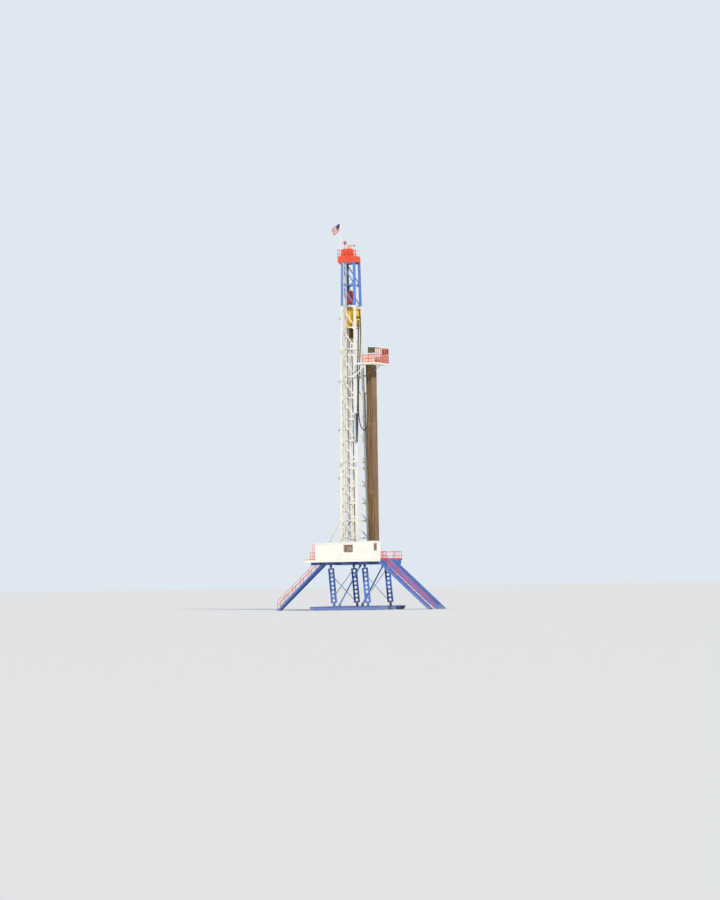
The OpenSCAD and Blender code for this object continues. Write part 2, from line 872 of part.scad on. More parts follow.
// One stand of pipe with its tool joints
module stand(l) {
  r = pipe_d / 2;
  j = joint_d / 2;
  n = 3;
  box_l = 150;
  rotate_extrude($fn = 16)
    polygon(concat([[0, 0]],
      [for (i = [0:n - 1]) each [[j, i * l / n + (i == 0 ? 0 : 10)],
        [j, i * l / n + box_l], [r, i * l / n + box_l + 30],
          [r, (i + 1) * l / n - box_l - 30], [j, (i + 1) * l / n - box_l],
            [j, (i + 1) * l / n - (i == n - 1 ? 0 : 10)]]],
      [[0, l]]));
}

module pipe_stands() {
  color("#7a5a44")
    for (i = [0:rows - 1], k = [0:stands_in_row - 1])
      translate([first_row + i * stand_pitch, first_stand_y + k * stand_pitch, floor_z + 50])
        stand(stand_l);
}

// Rail that stops the top drive from turning, hung from the crown
module guide_rail() {
  color("slategray") {
    box([rail_x - 30, -rail_w / 2, rail_foot_z], [rail_x, rail_w / 2, crown_z + 40 - seat]);
    box([rail_x - 8, -rail_w / 2 - 20, rail_foot_z], [rail_x, rail_w / 2 + 20, crown_z + 40 - seat]);
  }
}

// Quarter bend from straight up at the origin to level towards +X
module elbow(d, r) {
  translate([r, 0, 0])
    rotate([90, 0, 0])
      rotate([0, 0, 90])
        rotate_extrude(angle = 90, $fn = 48)
          translate([r, 0])
            circle(d = d, $fn = 24);
}

// Standpipe clamped to the far front leg, with the gooseneck that takes the hose
module standpipe() {
  z0 = floor_z + 300;
  p = standpipe_top;
  reach = [hose_end.x - p.x, hose_end.y - p.y];
  color("lightgray") {
    rod([hx(z0) + pipe_out, hy(z0), z0], p, standpipe_d, 24);
    translate(p)
      rotate([0, 0, atan2(reach.y, reach.x)]) {
        elbow(standpipe_d, bend_r);
        cylinder(d = standpipe_d + 24, h = 30, center = true, $fn = 24);
        translate([bend_r, 0, bend_r])
          rotate([0, 90, 0]) {
            cylinder(d = standpipe_d, h = norm(reach) - bend_r - seat, $fn = 24);
            cylinder(d = standpipe_d + 24, h = 30, center = true, $fn = 24);
          }
      }
    for (z = [first_girt_z, first_girt_z + 3 * lower_bay, splice_1 + splice_h / 2 + middle_bay])
      box([leg_face_x(z - 30), hy(z) - 55, z - 30], [hx(z) + pipe_out, hy(z) + 55, z + 30]);
  }
}

// Tube swept along a smooth curve through hand-chosen points
function spline(p, i, t) =
  let (a = p[max(i - 1, 0)], b = p[i], c = p[i + 1], d = p[min(i + 2, len(p) - 1)])
  0.5 * (2 * b + (c - a) * t + (2 * a - 5 * b + 4 * c - d) * t * t + (3 * b - a - 3 * c + d) * t * t * t);

function route_points(p, per) =
  concat([for (i = [0:len(p) - 2], k = [0:per - 1]) spline(p, i, k / per)], [p[len(p) - 1]]);

function unit(v) = v / norm(v);

module swept_tube(route, d, per, sides, start_dir, end_dir) {
  c = route_points(route, per);
  n = len(c);
  points = [for (i = [0:n - 1])
      let (dir = i == 0 ? start_dir : i == n - 1 ? end_dir : unit(c[i + 1] - c[i - 1]),
        u = unit(cross(dir, [0.9, 0.1, 0.42])), v = cross(dir, u))
      for (k = [0:sides - 1]) c[i] + d / 2 * (u * cos(360 * k / sides) + v * sin(360 * k / sides))];
  faces = concat(
    [[for (k = [0:sides - 1]) k]],
    [for (i = [0:n - 2], k = [0:sides - 1])
      let (a = i * sides + k, b = i * sides + (k + 1) % sides) [a, a + sides, b + sides, b]],
    [[for (k = [sides - 1:-1:0]) (n - 1) * sides + k]]);
  polyhedron(points, faces);
}

module rotary_hose() {
  color("#2b2b2b")
    swept_tube(hose_route, hose_d, 3, 8, [0, 0, -1],
      unit([standpipe_top.x - hose_end.x, standpipe_top.y - hose_end.y, 0]));
}

module service_loop() {
  color("#333333")
    swept_tube(loop_route, loop_d, 2, 8, [0, 0, -1], [0, 0, 1]);
}

// Parts of the drilling line between the crown and the travelling block
module drilling_lines() {
  color("dimgray")
    for (i = [0:line_count / 2 - 1], s = [-1, 1])
      translate([s * (line_sheave_r - line_d / 2 + seat), (i - (line_count / 2 - 1) / 2) * line_pitch,
          block_sheave_z])
        cylinder(d = line_d, h = sheave_z - block_sheave_z, $fn = 12);
}

// Fast line down to the drawworks drum, and dead line down to its anchor on the deck
module fast_line() {
  top = [line_x, 60, crown_z + 40 - seat - 1];
  color("dimgray") {
    rod(top, [drum_x + drum_r + line_d / 2 + seat, 60, drum_z], line_d, 12);
    rod([top.x, 300, top.z], [anchor.x, anchor.y, floor_z + 50], line_d, 12);
    translate([anchor.x, anchor.y, floor_z])
      cylinder(d = 160, h = 70, $fn = 32);
  }
}

// Visible part of the drill stem, from the top drive down into the rotary table
module drill_stem() {
  color("#4a4a4a")
    translate([0, 0, deck_z - 160])
      cylinder(d = pipe_d, h = stem_top - deck_z + 160, $fn = 16);
}

// Drawworks on its skid: drum, end stands, drum guard and the drive motors
module drawworks() {
  x = drum_x;
  z = floor_z;
  color("royalblue") {
    box([x - 560, -820, z], [x + 420, 820, z + 120]);
    for (s = [-1, 1])
      translate([x, s * 560, z + 119])
        rotate([90, 0, 0])
          linear_extrude(90, center = true)
            polygon([[-380, 0], [380, 0], [300, 620], [120, 760], [-260, 760], [-380, 500]]);
    translate([x, 0, drum_z])
      rotate([90, 0, 0])
        cylinder(r = drum_r, h = 1080, center = true, $fn = 48);
    for (s = [-1, 1])
      translate([x, s * 480, drum_z])
        rotate([90, 0, 0])
          cylinder(r = 330, h = 40, center = true, $fn = 48);
    for (s = [-1, 1])
      translate([x - 200, s * 720, z + 400])
        rotate([90, 0, 0])
          cylinder(r = 200, h = 240, center = true, $fn = 32);
    box([x - 400, -820, z + 119], [x - 100, 820, z + 240]);
  }
}

// Travelling block: two cheek plates, the cluster of sheaves and the bail pin below
module travelling_block() {
  color("firebrick") {
    for (s = [-1, 1])
      translate([0, s * block_w / 2, 0])
        rotate([90, 0, 0])
          linear_extrude(36, center = true)
            polygon([[-130, block_z0], [130, block_z0],
              [block_hx, block_z0 + 330], [block_hx, block_top - 170],
              [150, block_top], [-150, block_top],
                [-block_hx, block_top - 170], [-block_hx, block_z0 + 330]]);
    for (i = [0:3])
      translate([0, (i - 1.5) * line_pitch, block_sheave_z])
        sheave(line_sheave_r, sheave_t, 40);
    translate([0, 0, block_sheave_z])
      rotate([90, 0, 0])
        cylinder(r = 50, h = block_w + 60, center = true, $fn = 32);
    box([-125, -block_w / 2, block_z0], [125, block_w / 2, block_z0 + 120]);
    for (s = [-1, 1])
      box([s * (block_hx - 12) - 12, -block_w / 2, block_z0 + 330],
        [s * (block_hx - 12) + 12, block_w / 2, block_top - 400]);
    translate([0, 0, drive_top + seat])
      cylinder(d = 150, h = 200, $fn = 32);
  }
}

// Top drive: gear housing, two upright motors, bonnet, guide dolly and gooseneck
module top_drive() {
  w = drive_w / 2;
  z = drive_z0;
  color("gold") {
    box([drive_x0, -w, z], [drive_x1 - 60, w, z + 330]);
    translate([0, 0, z + 329])
      rotate([90, 0, 0])
        linear_extrude(2 * w - 100, center = true)
          polygon([[drive_x0 + 60, 0], [drive_x1 - 120, 0], [drive_x1 - 160, 780], [drive_x1 - 260, 900],
            [drive_x0 + 160, 900], [drive_x0 + 60, 780]]);
    for (s = [-1, 1])
      translate([drive_x1 - 170, s * 190, z + 120])
        cylinder(r = 170, h = 1040, $fn = 32);
    translate([0, 0, z + 1228])
      cylinder(d = 300, h = drive_h - 1228, $fn = 32);
  }
  color("darkgoldenrod") {
    translate(hose_start)
      rotate([0, 0, atan2(hose_start.y, hose_start.x) + 180]) {
        elbow(hose_d + 16, bend_r);
        translate([bend_r, 0, bend_r])
          rotate([0, 90, 0]) {
            cylinder(d = hose_d + 16, h = norm([hose_start.x, hose_start.y]) - bend_r, $fn = 24);
            cylinder(d = hose_d + 40, h = 30, center = true, $fn = 24);
          }
      }
    box([drive_x1 - 40, loop_start.y - 70, loop_start.z],
      [loop_start.x + 60, loop_start.y + 70, loop_start.z + 110]);
    box([rail_x + 6, -rail_w / 2 - 60, z + 100], [drive_x0 + 2, rail_w / 2 + 60, z + 1300]);
    for (s = [-1, 1], h = [160, 1060])
      box([rail_x - 50, s > 0 ? rail_w / 2 + 26 : -rail_w / 2 - 60, z + h],
        [rail_x + 8, s > 0 ? rail_w / 2 + 60 : -rail_w / 2 - 26, z + h + 160]);
  }
}

// Pipe handler under the top drive: swivel ring, torque frame and the two elevator links
module pipe_handler() {
  link_d = 60;
  color("saddlebrown") {
    translate([0, 0, quill_z])
      difference() {
        union() {
          cylinder(d = 420, h = quill_h, $fn = 48);
          box([-150, -130, -wrench_h], [150, 130, 1]);
        }
        translate([0, 0, -wrench_h - 1])
          cylinder(d = quill_bore, h = wrench_h + quill_h - 80 + 1, $fn = 32);
      }
    for (s = [-1, 1]) {
      translate([0, s * 250, quill_z + 70])
        rotate([90, 0, 0])
          cylinder(d = 130, h = 120, center = true, $fn = 32);
      rod([0, s * 250, quill_z + 70], [0, s * 190, elevator_z + 170 + 2.1], link_d, 12);
    }
  }
}

// Elevator: clamp ring round the pipe with an ear for each link
module elevator() {
  color("gold")
    translate([0, 0, elevator_z])
      difference() {
        union() {
          cylinder(d = 250, h = 170 - seat, $fn = 48);
          box([-45, -230, 20], [45, 230, 170 - seat]);
        }
        translate([0, 0, -1])
          cylinder(d = pipe_d + 10, h = 200, $fn = 32);
      }
}

// Beams under the doghouse, hung off the floor beams
module doghouse_brackets() {
  z1 = floor_z - dog_base_h - seat;
  color("#3f6ea8")
    for (x = bracket_xs)
      translate([x, 0, 0])
        rotate([90, 0, 90])
          linear_extrude(120, center = true)
            polygon([[-side_y - beam_w / 2 - seat, z1], [dog_y0, z1], [dog_y0, z1 - 110],
              [-side_y - beam_w / 2 - seat, z1 - bracket_h]]);
}

// Doghouse skid floor with the porch at its rear end
module doghouse_floor() {
  color("ghostwhite")
    box([dog_x0 - porch_l, dog_y0, floor_z - dog_base_h], [dog_x0 + dog_l, dog_y1, floor_z]);
}

// Solid under a roof line that falls towards the rear, between two X and two Y: from z0, or from just over
// the walls where z0 isn't given, to the line plus up
module under_roof(x0, x1, y0, y1, z0, up) {
  function roof_z(x) = floor_z + dog_h - dog_fall * (dog_x0 + dog_l - x) / dog_l;
  translate([0, y1, 0])
    rotate([90, 0, 0])
      linear_extrude(y1 - y0)
        polygon([[x0, z0 == undef ? roof_z(x0) + seat : z0], [x1, z0 == undef ? roof_z(x1) + seat : z0],
          [x1, roof_z(x1) + up], [x0, roof_z(x0) + up]]);
}

// Four walls of the doghouse in one welded shell, with the door and window openings
module doghouse_shell() {
  x1 = dog_x0 + dog_l;
  color("ghostwhite")
    difference() {
      under_roof(dog_x0, x1, dog_y0, dog_y1, floor_z, 0);
      box([dog_x0 + dog_wall, dog_y0 + dog_wall, floor_z - 1],
        [x1 - dog_wall, dog_y1 - dog_wall, floor_z + dog_h + 1]);
      box([window_x, dog_y0 - 1, floor_z + window_sill],
        [window_x + window_w, dog_y0 + dog_wall + 1, floor_z + window_sill + window_h]);
      box([x1 - dog_wall - 1, dog_y0 + side_window_y, floor_z + side_sill],
        [x1 + 1, dog_y0 + side_window_y + side_window_w, floor_z + side_sill + side_window_h]);
      box([door_x, dog_y1 - dog_wall - 1, floor_z - 1], [door_x + door_w, dog_y1 + 1, floor_z + door_h]);
    }
}

module doghouse_roof() {
  color("ghostwhite")
    under_roof(dog_x0 - 20, dog_x0 + dog_l + 20, dog_y0 - 20, dog_y1, undef, 60);
}

module doghouse_door() {
  color("gainsboro")
    box([door_x + 2, dog_y1 - dog_wall + 5, floor_z + seat],
      [door_x + door_w - 2, dog_y1 - 5, floor_z + door_h - 2]);
}

module doghouse_glass() {
  x1 = dog_x0 + dog_l;
  color("slategray") {
    box([window_x + seat, dog_y0 + 20, floor_z + window_sill + seat],
      [window_x + window_w - seat, dog_y0 + 28, floor_z + window_sill + window_h - seat]);
    box([x1 - 28, dog_y0 + side_window_y + seat, floor_z + side_sill + seat],
      [x1 - 20, dog_y0 + side_window_y + side_window_w - seat, floor_z + side_sill + side_window_h - seat]);
  }
}

// Pipe ramp: slide plate between two side beams, hung on the floor edge and standing on the ground
module pipe_ramp() {
  x0 = floor_front + seat;
  x1 = x0 + ramp_run;
  depth = 200;
  color("royalblue") {
    for (s = [-1, 1])
      translate([0, s * (ramp_w / 2 - 60), 0])
        rotate([90, 0, 0])
          linear_extrude(120, center = true)
            polygon([[x0, floor_z - depth - 160], [x0, floor_z + 60],
              [x0 + 60, floor_z + 60], [x1 + 60, 60], [x1 + 60, 0],
              [x1 - 260, 0]]);
    rotate([90, 0, 0])
      linear_extrude(ramp_w - 20, center = true)
        polygon([[x0, floor_z - 60], [x0, floor_z], [x1 - 40, 40], [x1 - 40, 0], [x1 - 66, 0]]);
  }
}

// Flight of stairs going down from the floor edge along +X
module stair(w) {
  run = floor_z / tan(slope);
  for (s = [-1, 1])
    translate([0, s * (w / 2 - 12), 0])
      rotate([90, 0, 0])
        linear_extrude(24, center = true)
          polygon([[0, floor_z - 260], [0, floor_z], [run, 0], [run - 240, 0]]);
  for (i = [1:treads])
    translate([i * run / (treads + 1) - tread_d + 12, -w / 2 + 12, floor_z - i * tread_rise - 16])
      cube([tread_d, w - 24, 16]);
}

module front_stair() {
  color("royalblue")
    translate([floor_front + seat, front_stair_y, 0])
      stair(stair_w);
}

module rear_stair() {
  color("royalblue")
    translate([-floor_rear - seat, rear_stair_y, 0])
      mirror([1, 0, 0])
        stair(stair_w);
}

// Sloping handrail beside a flight, bolted to the outer face of the stringer
module slope_rail(w) {
  run = floor_z / tan(slope);
  n = 7;
  for (s = [-1, 1]) {
    y = s * (w / 2 + post_r + seat);
    for (i = [0:n - 1]) {
      x = 60 + i * (run - 160) / (n - 1);
      translate([x, y, floor_z - x * tan(slope) - 60])
        cylinder(r = post_r, h = rail_h + 60, $fn = 16);
    }
    for (h = [rail_h, rail_h / 2])
      rod_between([60, y, floor_z - 60 * tan(slope) + h],
        [run - 100, y, floor_z - (run - 100) * tan(slope) + h], 2 * post_r - 4);
  }
}

module stair_rails() {
  color("orangered") {
    translate([floor_front + seat, front_stair_y, 0])
      slope_rail(stair_w);
    translate([-floor_rear - seat, rear_stair_y, 0])
      mirror([1, 0, 0])
        slope_rail(stair_w);
  }
}

// Handrails round the open edges of the drill floor
module floor_rails() {
  z = floor_z;
  in = 40;
  y = floor_hy - in;
  xf = floor_front - in;
  xr = -floor_rear + in;
  color("orangered") {
    rail_run([xr, y, z], [xf, y, z], rail_h, 10);
    rail_run([xf, ramp_w / 2 + 60, z], [xf, y, z], rail_h, 4);
    rail_run([xf, front_stair_y + stair_w / 2 + 40, z], [xf, -ramp_w / 2 - 60, z], rail_h, 3);
    rail_run([xr, rear_stair_y + stair_w / 2 + 40, z], [xr, y, z], rail_h, 4);
    rail_run([xr, -y, z], [xr, rear_stair_y - stair_w / 2 - 40, z], rail_h, 5);
  }
}

base_frame();
floor_columns();
leg_braces();
floor_frame();
deck();
rotary_table();
setback();
mast_side_lower(-1);  // mast_near_lower
mast_side_middle(-1);  // mast_near_middle
mast_side_upper(-1);  // mast_near_upper
mast_side_lower(1);  // mast_far_lower
mast_side_middle(1);  // mast_far_middle
mast_side_upper(1);  // mast_far_upper
mast_back(lower_levels);  // mast_back_lower
mast_back(middle_levels);  // mast_back_middle
mast_back(upper_levels);  // mast_back_upper
mast_shoes();
back_struts();
ladder();
crown_frame();
crown_sheaves();
crown_housing();
crown_rails();
flagpole();
flag();
board_frame();
board_fingers();
board_panels();
board_shelter();
board_canopy();
pipe_stands();
guide_rail();
standpipe();
rotary_hose();
service_loop();
drilling_lines();
fast_line();
drill_stem();
drawworks();
travelling_block();
top_drive();
pipe_handler();
elevator();
doghouse_brackets();
doghouse_floor();
doghouse_shell();
doghouse_roof();
doghouse_door();
doghouse_glass();
pipe_ramp();
front_stair();
rear_stair();
stair_rails();
floor_rails();
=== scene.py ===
import math

import bpy
import numpy as np
from mathutils import Matrix, Vector


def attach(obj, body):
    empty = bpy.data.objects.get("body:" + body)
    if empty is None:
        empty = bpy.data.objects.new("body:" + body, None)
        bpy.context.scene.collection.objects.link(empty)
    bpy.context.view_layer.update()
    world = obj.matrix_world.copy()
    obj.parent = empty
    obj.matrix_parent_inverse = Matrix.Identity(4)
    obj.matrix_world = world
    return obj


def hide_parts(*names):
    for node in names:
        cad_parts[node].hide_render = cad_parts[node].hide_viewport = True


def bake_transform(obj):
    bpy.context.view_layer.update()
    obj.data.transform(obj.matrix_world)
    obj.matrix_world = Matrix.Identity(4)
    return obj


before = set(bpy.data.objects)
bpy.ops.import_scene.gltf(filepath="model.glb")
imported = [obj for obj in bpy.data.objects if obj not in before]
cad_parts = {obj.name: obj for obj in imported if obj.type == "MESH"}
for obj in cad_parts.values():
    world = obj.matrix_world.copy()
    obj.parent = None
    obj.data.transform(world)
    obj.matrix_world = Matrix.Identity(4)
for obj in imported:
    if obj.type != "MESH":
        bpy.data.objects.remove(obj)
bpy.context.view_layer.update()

print("frame loaded", len(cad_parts), "nodes")

# The camera stands far off in the field, low down, and looks slightly up at the mast
view = {
    "azimuth": 25.0, "distance": 200.0, "eye": 2.0, "lens": 110.7,
    "pitch": 2.732, "yaw": -0.134, "roll": -0.9,
}


def placeCamera():
    az = math.radians(view["azimuth"])
    data = bpy.data.cameras.new("camera")
    data.lens = view["lens"]
    data.clip_start, data.clip_end = 1.0, 2000.0
    cam = bpy.data.objects.new("camera", data)
    bpy.context.scene.collection.objects.link(cam)
    cam.location = (view["distance"] * math.sin(az), -view["distance"] * math.cos(az), view["eye"])
    turn = Matrix.Rotation(az + math.radians(view["yaw"]), 4, "Z")
    lift = Matrix.Rotation(math.radians(90 + view["pitch"]), 4, "X")
    tilt = Matrix.Rotation(math.radians(view["roll"]), 4, "Z")
    cam.matrix_world = Matrix.Translation(cam.location) @ turn @ lift @ tilt
    bpy.context.scene.camera = cam


placeCamera()
bpy.context.scene.view_settings.view_transform = "Standard"


# Shader building
class Wire:
    # one output of a node; the operators add Math nodes
    def __init__(self, finish, socket):
        self.finish, self.socket = finish, socket

    def math(self, operation, a, b=0.0):
        return self.finish.node("ShaderNodeMath", {"operation": operation}, {0: a, 1: b})

    def __add__(self, other):
        return self.math("ADD", self, other)

    def __sub__(self, other):
        return self.math("SUBTRACT", self, other)

    def __rsub__(self, other):
        return self.math("SUBTRACT", other, self)

    def __mul__(self, other):
        return self.math("MULTIPLY", self, other)

    def __truediv__(self, other):
        return self.math("DIVIDE", self, other)

    def __gt__(self, other):
        return self.math("GREATER_THAN", self, other)

    def __lt__(self, other):
        return self.math("LESS_THAN", self, other)

    __radd__ = __add__
    __rmul__ = __mul__

    def apply(self, operation, other=0.0):
        return self.math(operation, self, other)


class Finish:
    # one material and the means to fill its tree
    def __init__(self, name, coords="Object"):
        self.material = bpy.data.materials.new(name)
        self.material.use_nodes = True
        self.tree = self.material.node_tree
        self.shader = self.tree.nodes["Principled BSDF"]
        self.coords = self.node("ShaderNodeTexCoord", output=coords)

    def node(self, kind, settings=None, inputs=None, output=0):
        made = self.tree.nodes.new(kind)
        for key, value in (settings or {}).items():
            setattr(made, key, value)
        for key, value in (inputs or {}).items():
            self.feed(made.inputs[key], value)
        return Wire(self, made.outputs[output])

    def feed(self, socket, value):
        if isinstance(value, Wire):
            self.tree.links.new(value.socket, socket)
        elif hasattr(value, "__len__") and socket.type == "RGBA" and len(value) == 3:
            socket.default_value = (*value, 1.0)
        else:
            socket.default_value = value

    def mix(self, factor, a, b, blend="MIX"):
        return self.node("ShaderNodeMix", {"data_type": "RGBA", "blend_type": blend},
                         {0: factor, 6: a, 7: b}, output=2)

    def noise(self, scale, detail=4.0, stretch=(1, 1, 1), coords=None):
        place = self.node("ShaderNodeMapping", None, {"Vector": coords or self.coords, "Scale": stretch})
        return self.node("ShaderNodeTexNoise", None, {"Vector": place, "Scale": scale, "Detail": detail})

    def axes(self):
        parts = self.node("ShaderNodeSeparateXYZ", None, {0: self.coords})
        return [Wire(self, parts.socket.node.outputs[i]) for i in range(3)]

    def vector(self, x, y, z):
        return self.node("ShaderNodeCombineXYZ", None, {0: x, 1: y, 2: z})

    def step(self, value, low, high):
        return self.node("ShaderNodeMapRange", {"clamp": True, "interpolation_type": "SMOOTHSTEP"},
                         {0: value, 1: low, 2: high, 3: 0.0, 4: 1.0})

    def bump(self, height, strength, distance):
        return self.node("ShaderNodeBump", None,
                         {"Height": height, "Strength": strength, "Distance": distance})

    def set(self, **sockets):
        for key, value in sockets.items():
            self.feed(self.shader.inputs[key.replace("_", " ")], value)
        return self.material


def srgb(*rgb):
    return tuple(c / 12.92 if c <= 0.04045 else ((c + 0.055) / 1.055) ** 2.4 for c in (v / 255 for v in rgb))


rust, dust, soot = srgb(112, 66, 40), srgb(168, 150, 122), srgb(52, 48, 44)


def paint(name, colour, wear=0.35, dirt=0.35, rough=0.45, second=()):
    # brushed-on site paint: cloudy fading, rain streaks, rust spots and dust near the ground;
    # second is (axis, level, colour) for each stretch in another colour past that level, on both sides for y
    f = Finish(name)
    x, y, z = f.axes()
    base = srgb(*colour)
    for axis, level, other in second:
        base = f.mix(f.step({"x": x, "y": y.apply("ABSOLUTE"), "z": z}[axis], level - 0.0005, level + 0.0005),
                     base, srgb(*other))
    cloud = f.noise(0.9, 5.0)
    faded = f.mix(f.step(cloud, 0.35, 0.75) * 0.3, base, f.mix(0.25, base, srgb(225, 222, 214)))
    streaks = f.step(f.noise(7.0, 6.0, (1, 1, 0.12)), 0.52, 0.75)
    stained = f.mix(streaks * (dirt * 0.5), faded, f.mix(0.5, faded, dust))
    grime = f.step(f.noise(2.3, 6.0), 0.5, 0.8) * dirt
    stained = f.mix(grime * 0.6, stained, f.mix(0.6, stained, soot))
    spots = f.step(f.noise(26.0, 7.0), 0.66 - wear * 0.1, 0.72) * f.step(f.noise(1.7, 3.0), 0.42, 0.62)
    low = 1 - f.step(z, 0.0, 0.7)
    dusty = f.mix(low * (dirt * 0.8), stained, dust)
    fine = f.noise(90.0, 3.0)
    return f.set(Base_Color=f.mix(spots * wear, dusty, rust),
                 Roughness=rough + 0.25 * spots + 0.2 * grime + 0.1 * fine,
                 Normal=f.bump(fine + 2 * cloud - spots, 0.25, 0.004))


def worn(name, colour, shine, rough=0.42, oily=0.4, lay=0.0, rusty=0.5):
    # bare or greasy steel: mill scale, rust bloom and dark oil; lay draws the twist of a wire rope
    f = Finish(name)
    x, y, z = f.axes()
    scale = f.noise(14.0, 6.0)
    bloom = f.step(f.noise(3.1, 6.0, (1, 1, 0.4)), 0.45, 0.72) * rusty
    oil = f.step(f.noise(1.3, 4.0, (1, 1, 0.3)), 0.42, 0.7) * oily
    base = f.mix(bloom, f.mix(f.step(scale, 0.4, 0.7) * 0.35, srgb(*colour), soot), rust)
    height = scale + 0.5 * f.noise(120.0, 3.0)
    if lay:
        height = height + 2 * ((z + 0.6 * (x + y)) * lay).apply("SINE")
    return f.set(Base_Color=f.mix(oil, base, srgb(34, 30, 27)), Roughness=rough + 0.3 * bloom - 0.15 * oil,
                 Metallic=shine * (1 - bloom), Normal=f.bump(height, 0.35, 0.003))


def rackedPipe(cell, first):
    # drill pipe in the rack: each stand has its own tone of rust, with painted highlight in lighter tan patches
    # along it
    f = Finish("rackedPipeSteel")
    x, y, z = f.axes()
    col = ((x - first[0]) / cell).apply("ROUND")
    row = ((y - first[1]) / cell).apply("ROUND")
    own = f.node("ShaderNodeTexWhiteNoise", {"noise_dimensions": "3D"}, {"Vector": f.vector(col, row, 0.0)})
    along = f.noise(2.2, 5.0, (1, 1, 0.25), f.vector(x + 5 * col, y + 3 * row, z))
    base = f.mix(own, srgb(142, 112, 78), srgb(98, 77, 57))
    # painted highlight: lighter tan patches along each stand, in the tone of the pipe's lit side
    base = f.mix(f.step(along, 0.4, 0.7) * 0.6, base, srgb(178, 148, 108))
    fine = f.noise(60.0, 5.0)
    return f.set(Base_Color=f.mix(f.step(fine, 0.5, 0.7) * 0.3, base, rust), Metallic=0.25 * own,
                 Roughness=0.6 + 0.2 * fine, Normal=f.bump(fine + along, 0.4, 0.003))


def rubber(name, colour, ribs=0.0):
    # hose cover: dusty black rubber with the print of its wrapping, ribs in radians to the metre
    f = Finish(name, "UV")
    v = f.axes()[1]
    dusty = f.step(f.noise(5.0, 5.0, (3, 1, 1)), 0.45, 0.75)
    scuff = f.step(f.noise(60.0, 4.0, (1, 4, 1)), 0.62, 0.7)
    base = f.mix(dusty * 0.4, srgb(*colour), srgb(112, 104, 92))
    return f.set(Base_Color=f.mix(scuff * 0.5, base, srgb(130, 124, 116)), Roughness=0.6 + 0.2 * dusty,
                 Normal=f.bump((v * ribs).apply("SINE") * 0.5 + f.noise(40.0, 4.0), 0.4, 0.002))


def chequer():
    # raised lozenges of a tread plate, in paint worn off along the walkways
    f = Finish("treadPlate")
    x, y, _ = f.axes()
    wave = 105.0    # radians to the metre: a row every 30 mm of x + y and of x - y
    a = ((x + y) * wave).apply("SINE").apply("ABSOLUTE")
    b = ((x - y) * wave).apply("SINE").apply("ABSOLUTE")
    flip = ((x * (wave / 2)).apply("SINE") * (y * (wave / 2)).apply("SINE")) > 0
    raised = f.step(a * flip + b * (1 - flip), 0.86, 0.97)
    bare = f.step(f.noise(1.1, 6.0), 0.42, 0.62)
    mud = f.step(f.noise(0.7, 6.0), 0.5, 0.72)
    base = f.mix(bare, srgb(78, 84, 92), srgb(104, 96, 88))
    base = f.mix(mud * 0.7, base, srgb(110, 92, 70))
    return f.set(Base_Color=f.mix(raised * 0.5, base, srgb(140, 138, 134)), Metallic=0.4 * raised,
                 Roughness=0.55 + 0.2 * mud, Normal=f.bump(raised + 0.3 * bare, 0.5, 0.004))


def planks():
    # timber mats: boards with grain, gaps and oil stains
    f = Finish("timberPlank")
    x, y, z = f.axes()
    wide = 0.09
    board = (y / wide).apply("FLOOR")
    across = (y / wide).apply("FRACT")
    gap = f.step((across - 0.5).apply("ABSOLUTE"), 0.455, 0.49)
    own = f.node("ShaderNodeTexWhiteNoise", {"noise_dimensions": "1D"}, {"W": board})
    grain = f.noise(6.0, 8.0, (0.5, 9.0, 9.0), f.vector(x + own * 7, y, z))
    base = f.mix(f.step(grain, 0.35, 0.7), srgb(128, 98, 66), srgb(86, 62, 42))
    base = f.mix(own * 0.4, base, srgb(104, 88, 70))
    oil = f.step(f.noise(2.0, 5.0), 0.5, 0.7)
    return f.set(Base_Color=f.mix(gap + oil * 0.5, base, srgb(36, 28, 22)), Roughness=0.8 - 0.3 * oil,
                 Normal=f.bump(grain - 3 * gap, 0.5, 0.004))


def weave(name, colour, thread, dirty, rough=0.85):
    # plain weave: the higher of two crossed thread waves, on the sheet's own UV in metres; the gaps between the
    # threads carry painted shade
    f = Finish(name, "UV")
    u, v, _ = f.axes()
    a, b = (u * thread).apply("SINE"), (v * thread).apply("SINE")
    cloth = a.apply("ABSOLUTE").apply("MAXIMUM", b.apply("ABSOLUTE"))
    stain = f.step(f.noise(7.0, 6.0), 0.45, 0.75)
    folds = f.noise(3.0, 3.0)
    base = colour(f, u, v) if callable(colour) else srgb(*colour)
    # real stains, and painted shade in the gaps between the threads, both darken the cloth towards soot
    return f.set(Base_Color=f.mix(stain * dirty + 0.25 * (1 - cloth), base, f.mix(0.65, base, soot)),
                 Roughness=rough, Normal=f.bump(cloth * 0.3 + folds * 2, 0.4, 0.002))


def pane():
    # dusty window glass, warm with the light of the room behind it
    f = Finish("windowPane")
    smear = f.step(f.noise(4.0, 6.0, (1, 1, 0.5)), 0.45, 0.75)
    return f.set(Base_Color=f.mix(smear * 0.5, srgb(150, 126, 100), srgb(206, 188, 160)),
                 Alpha=0.7 + 0.2 * smear, Roughness=0.1 + 0.4 * smear, Coat_Weight=1.0)


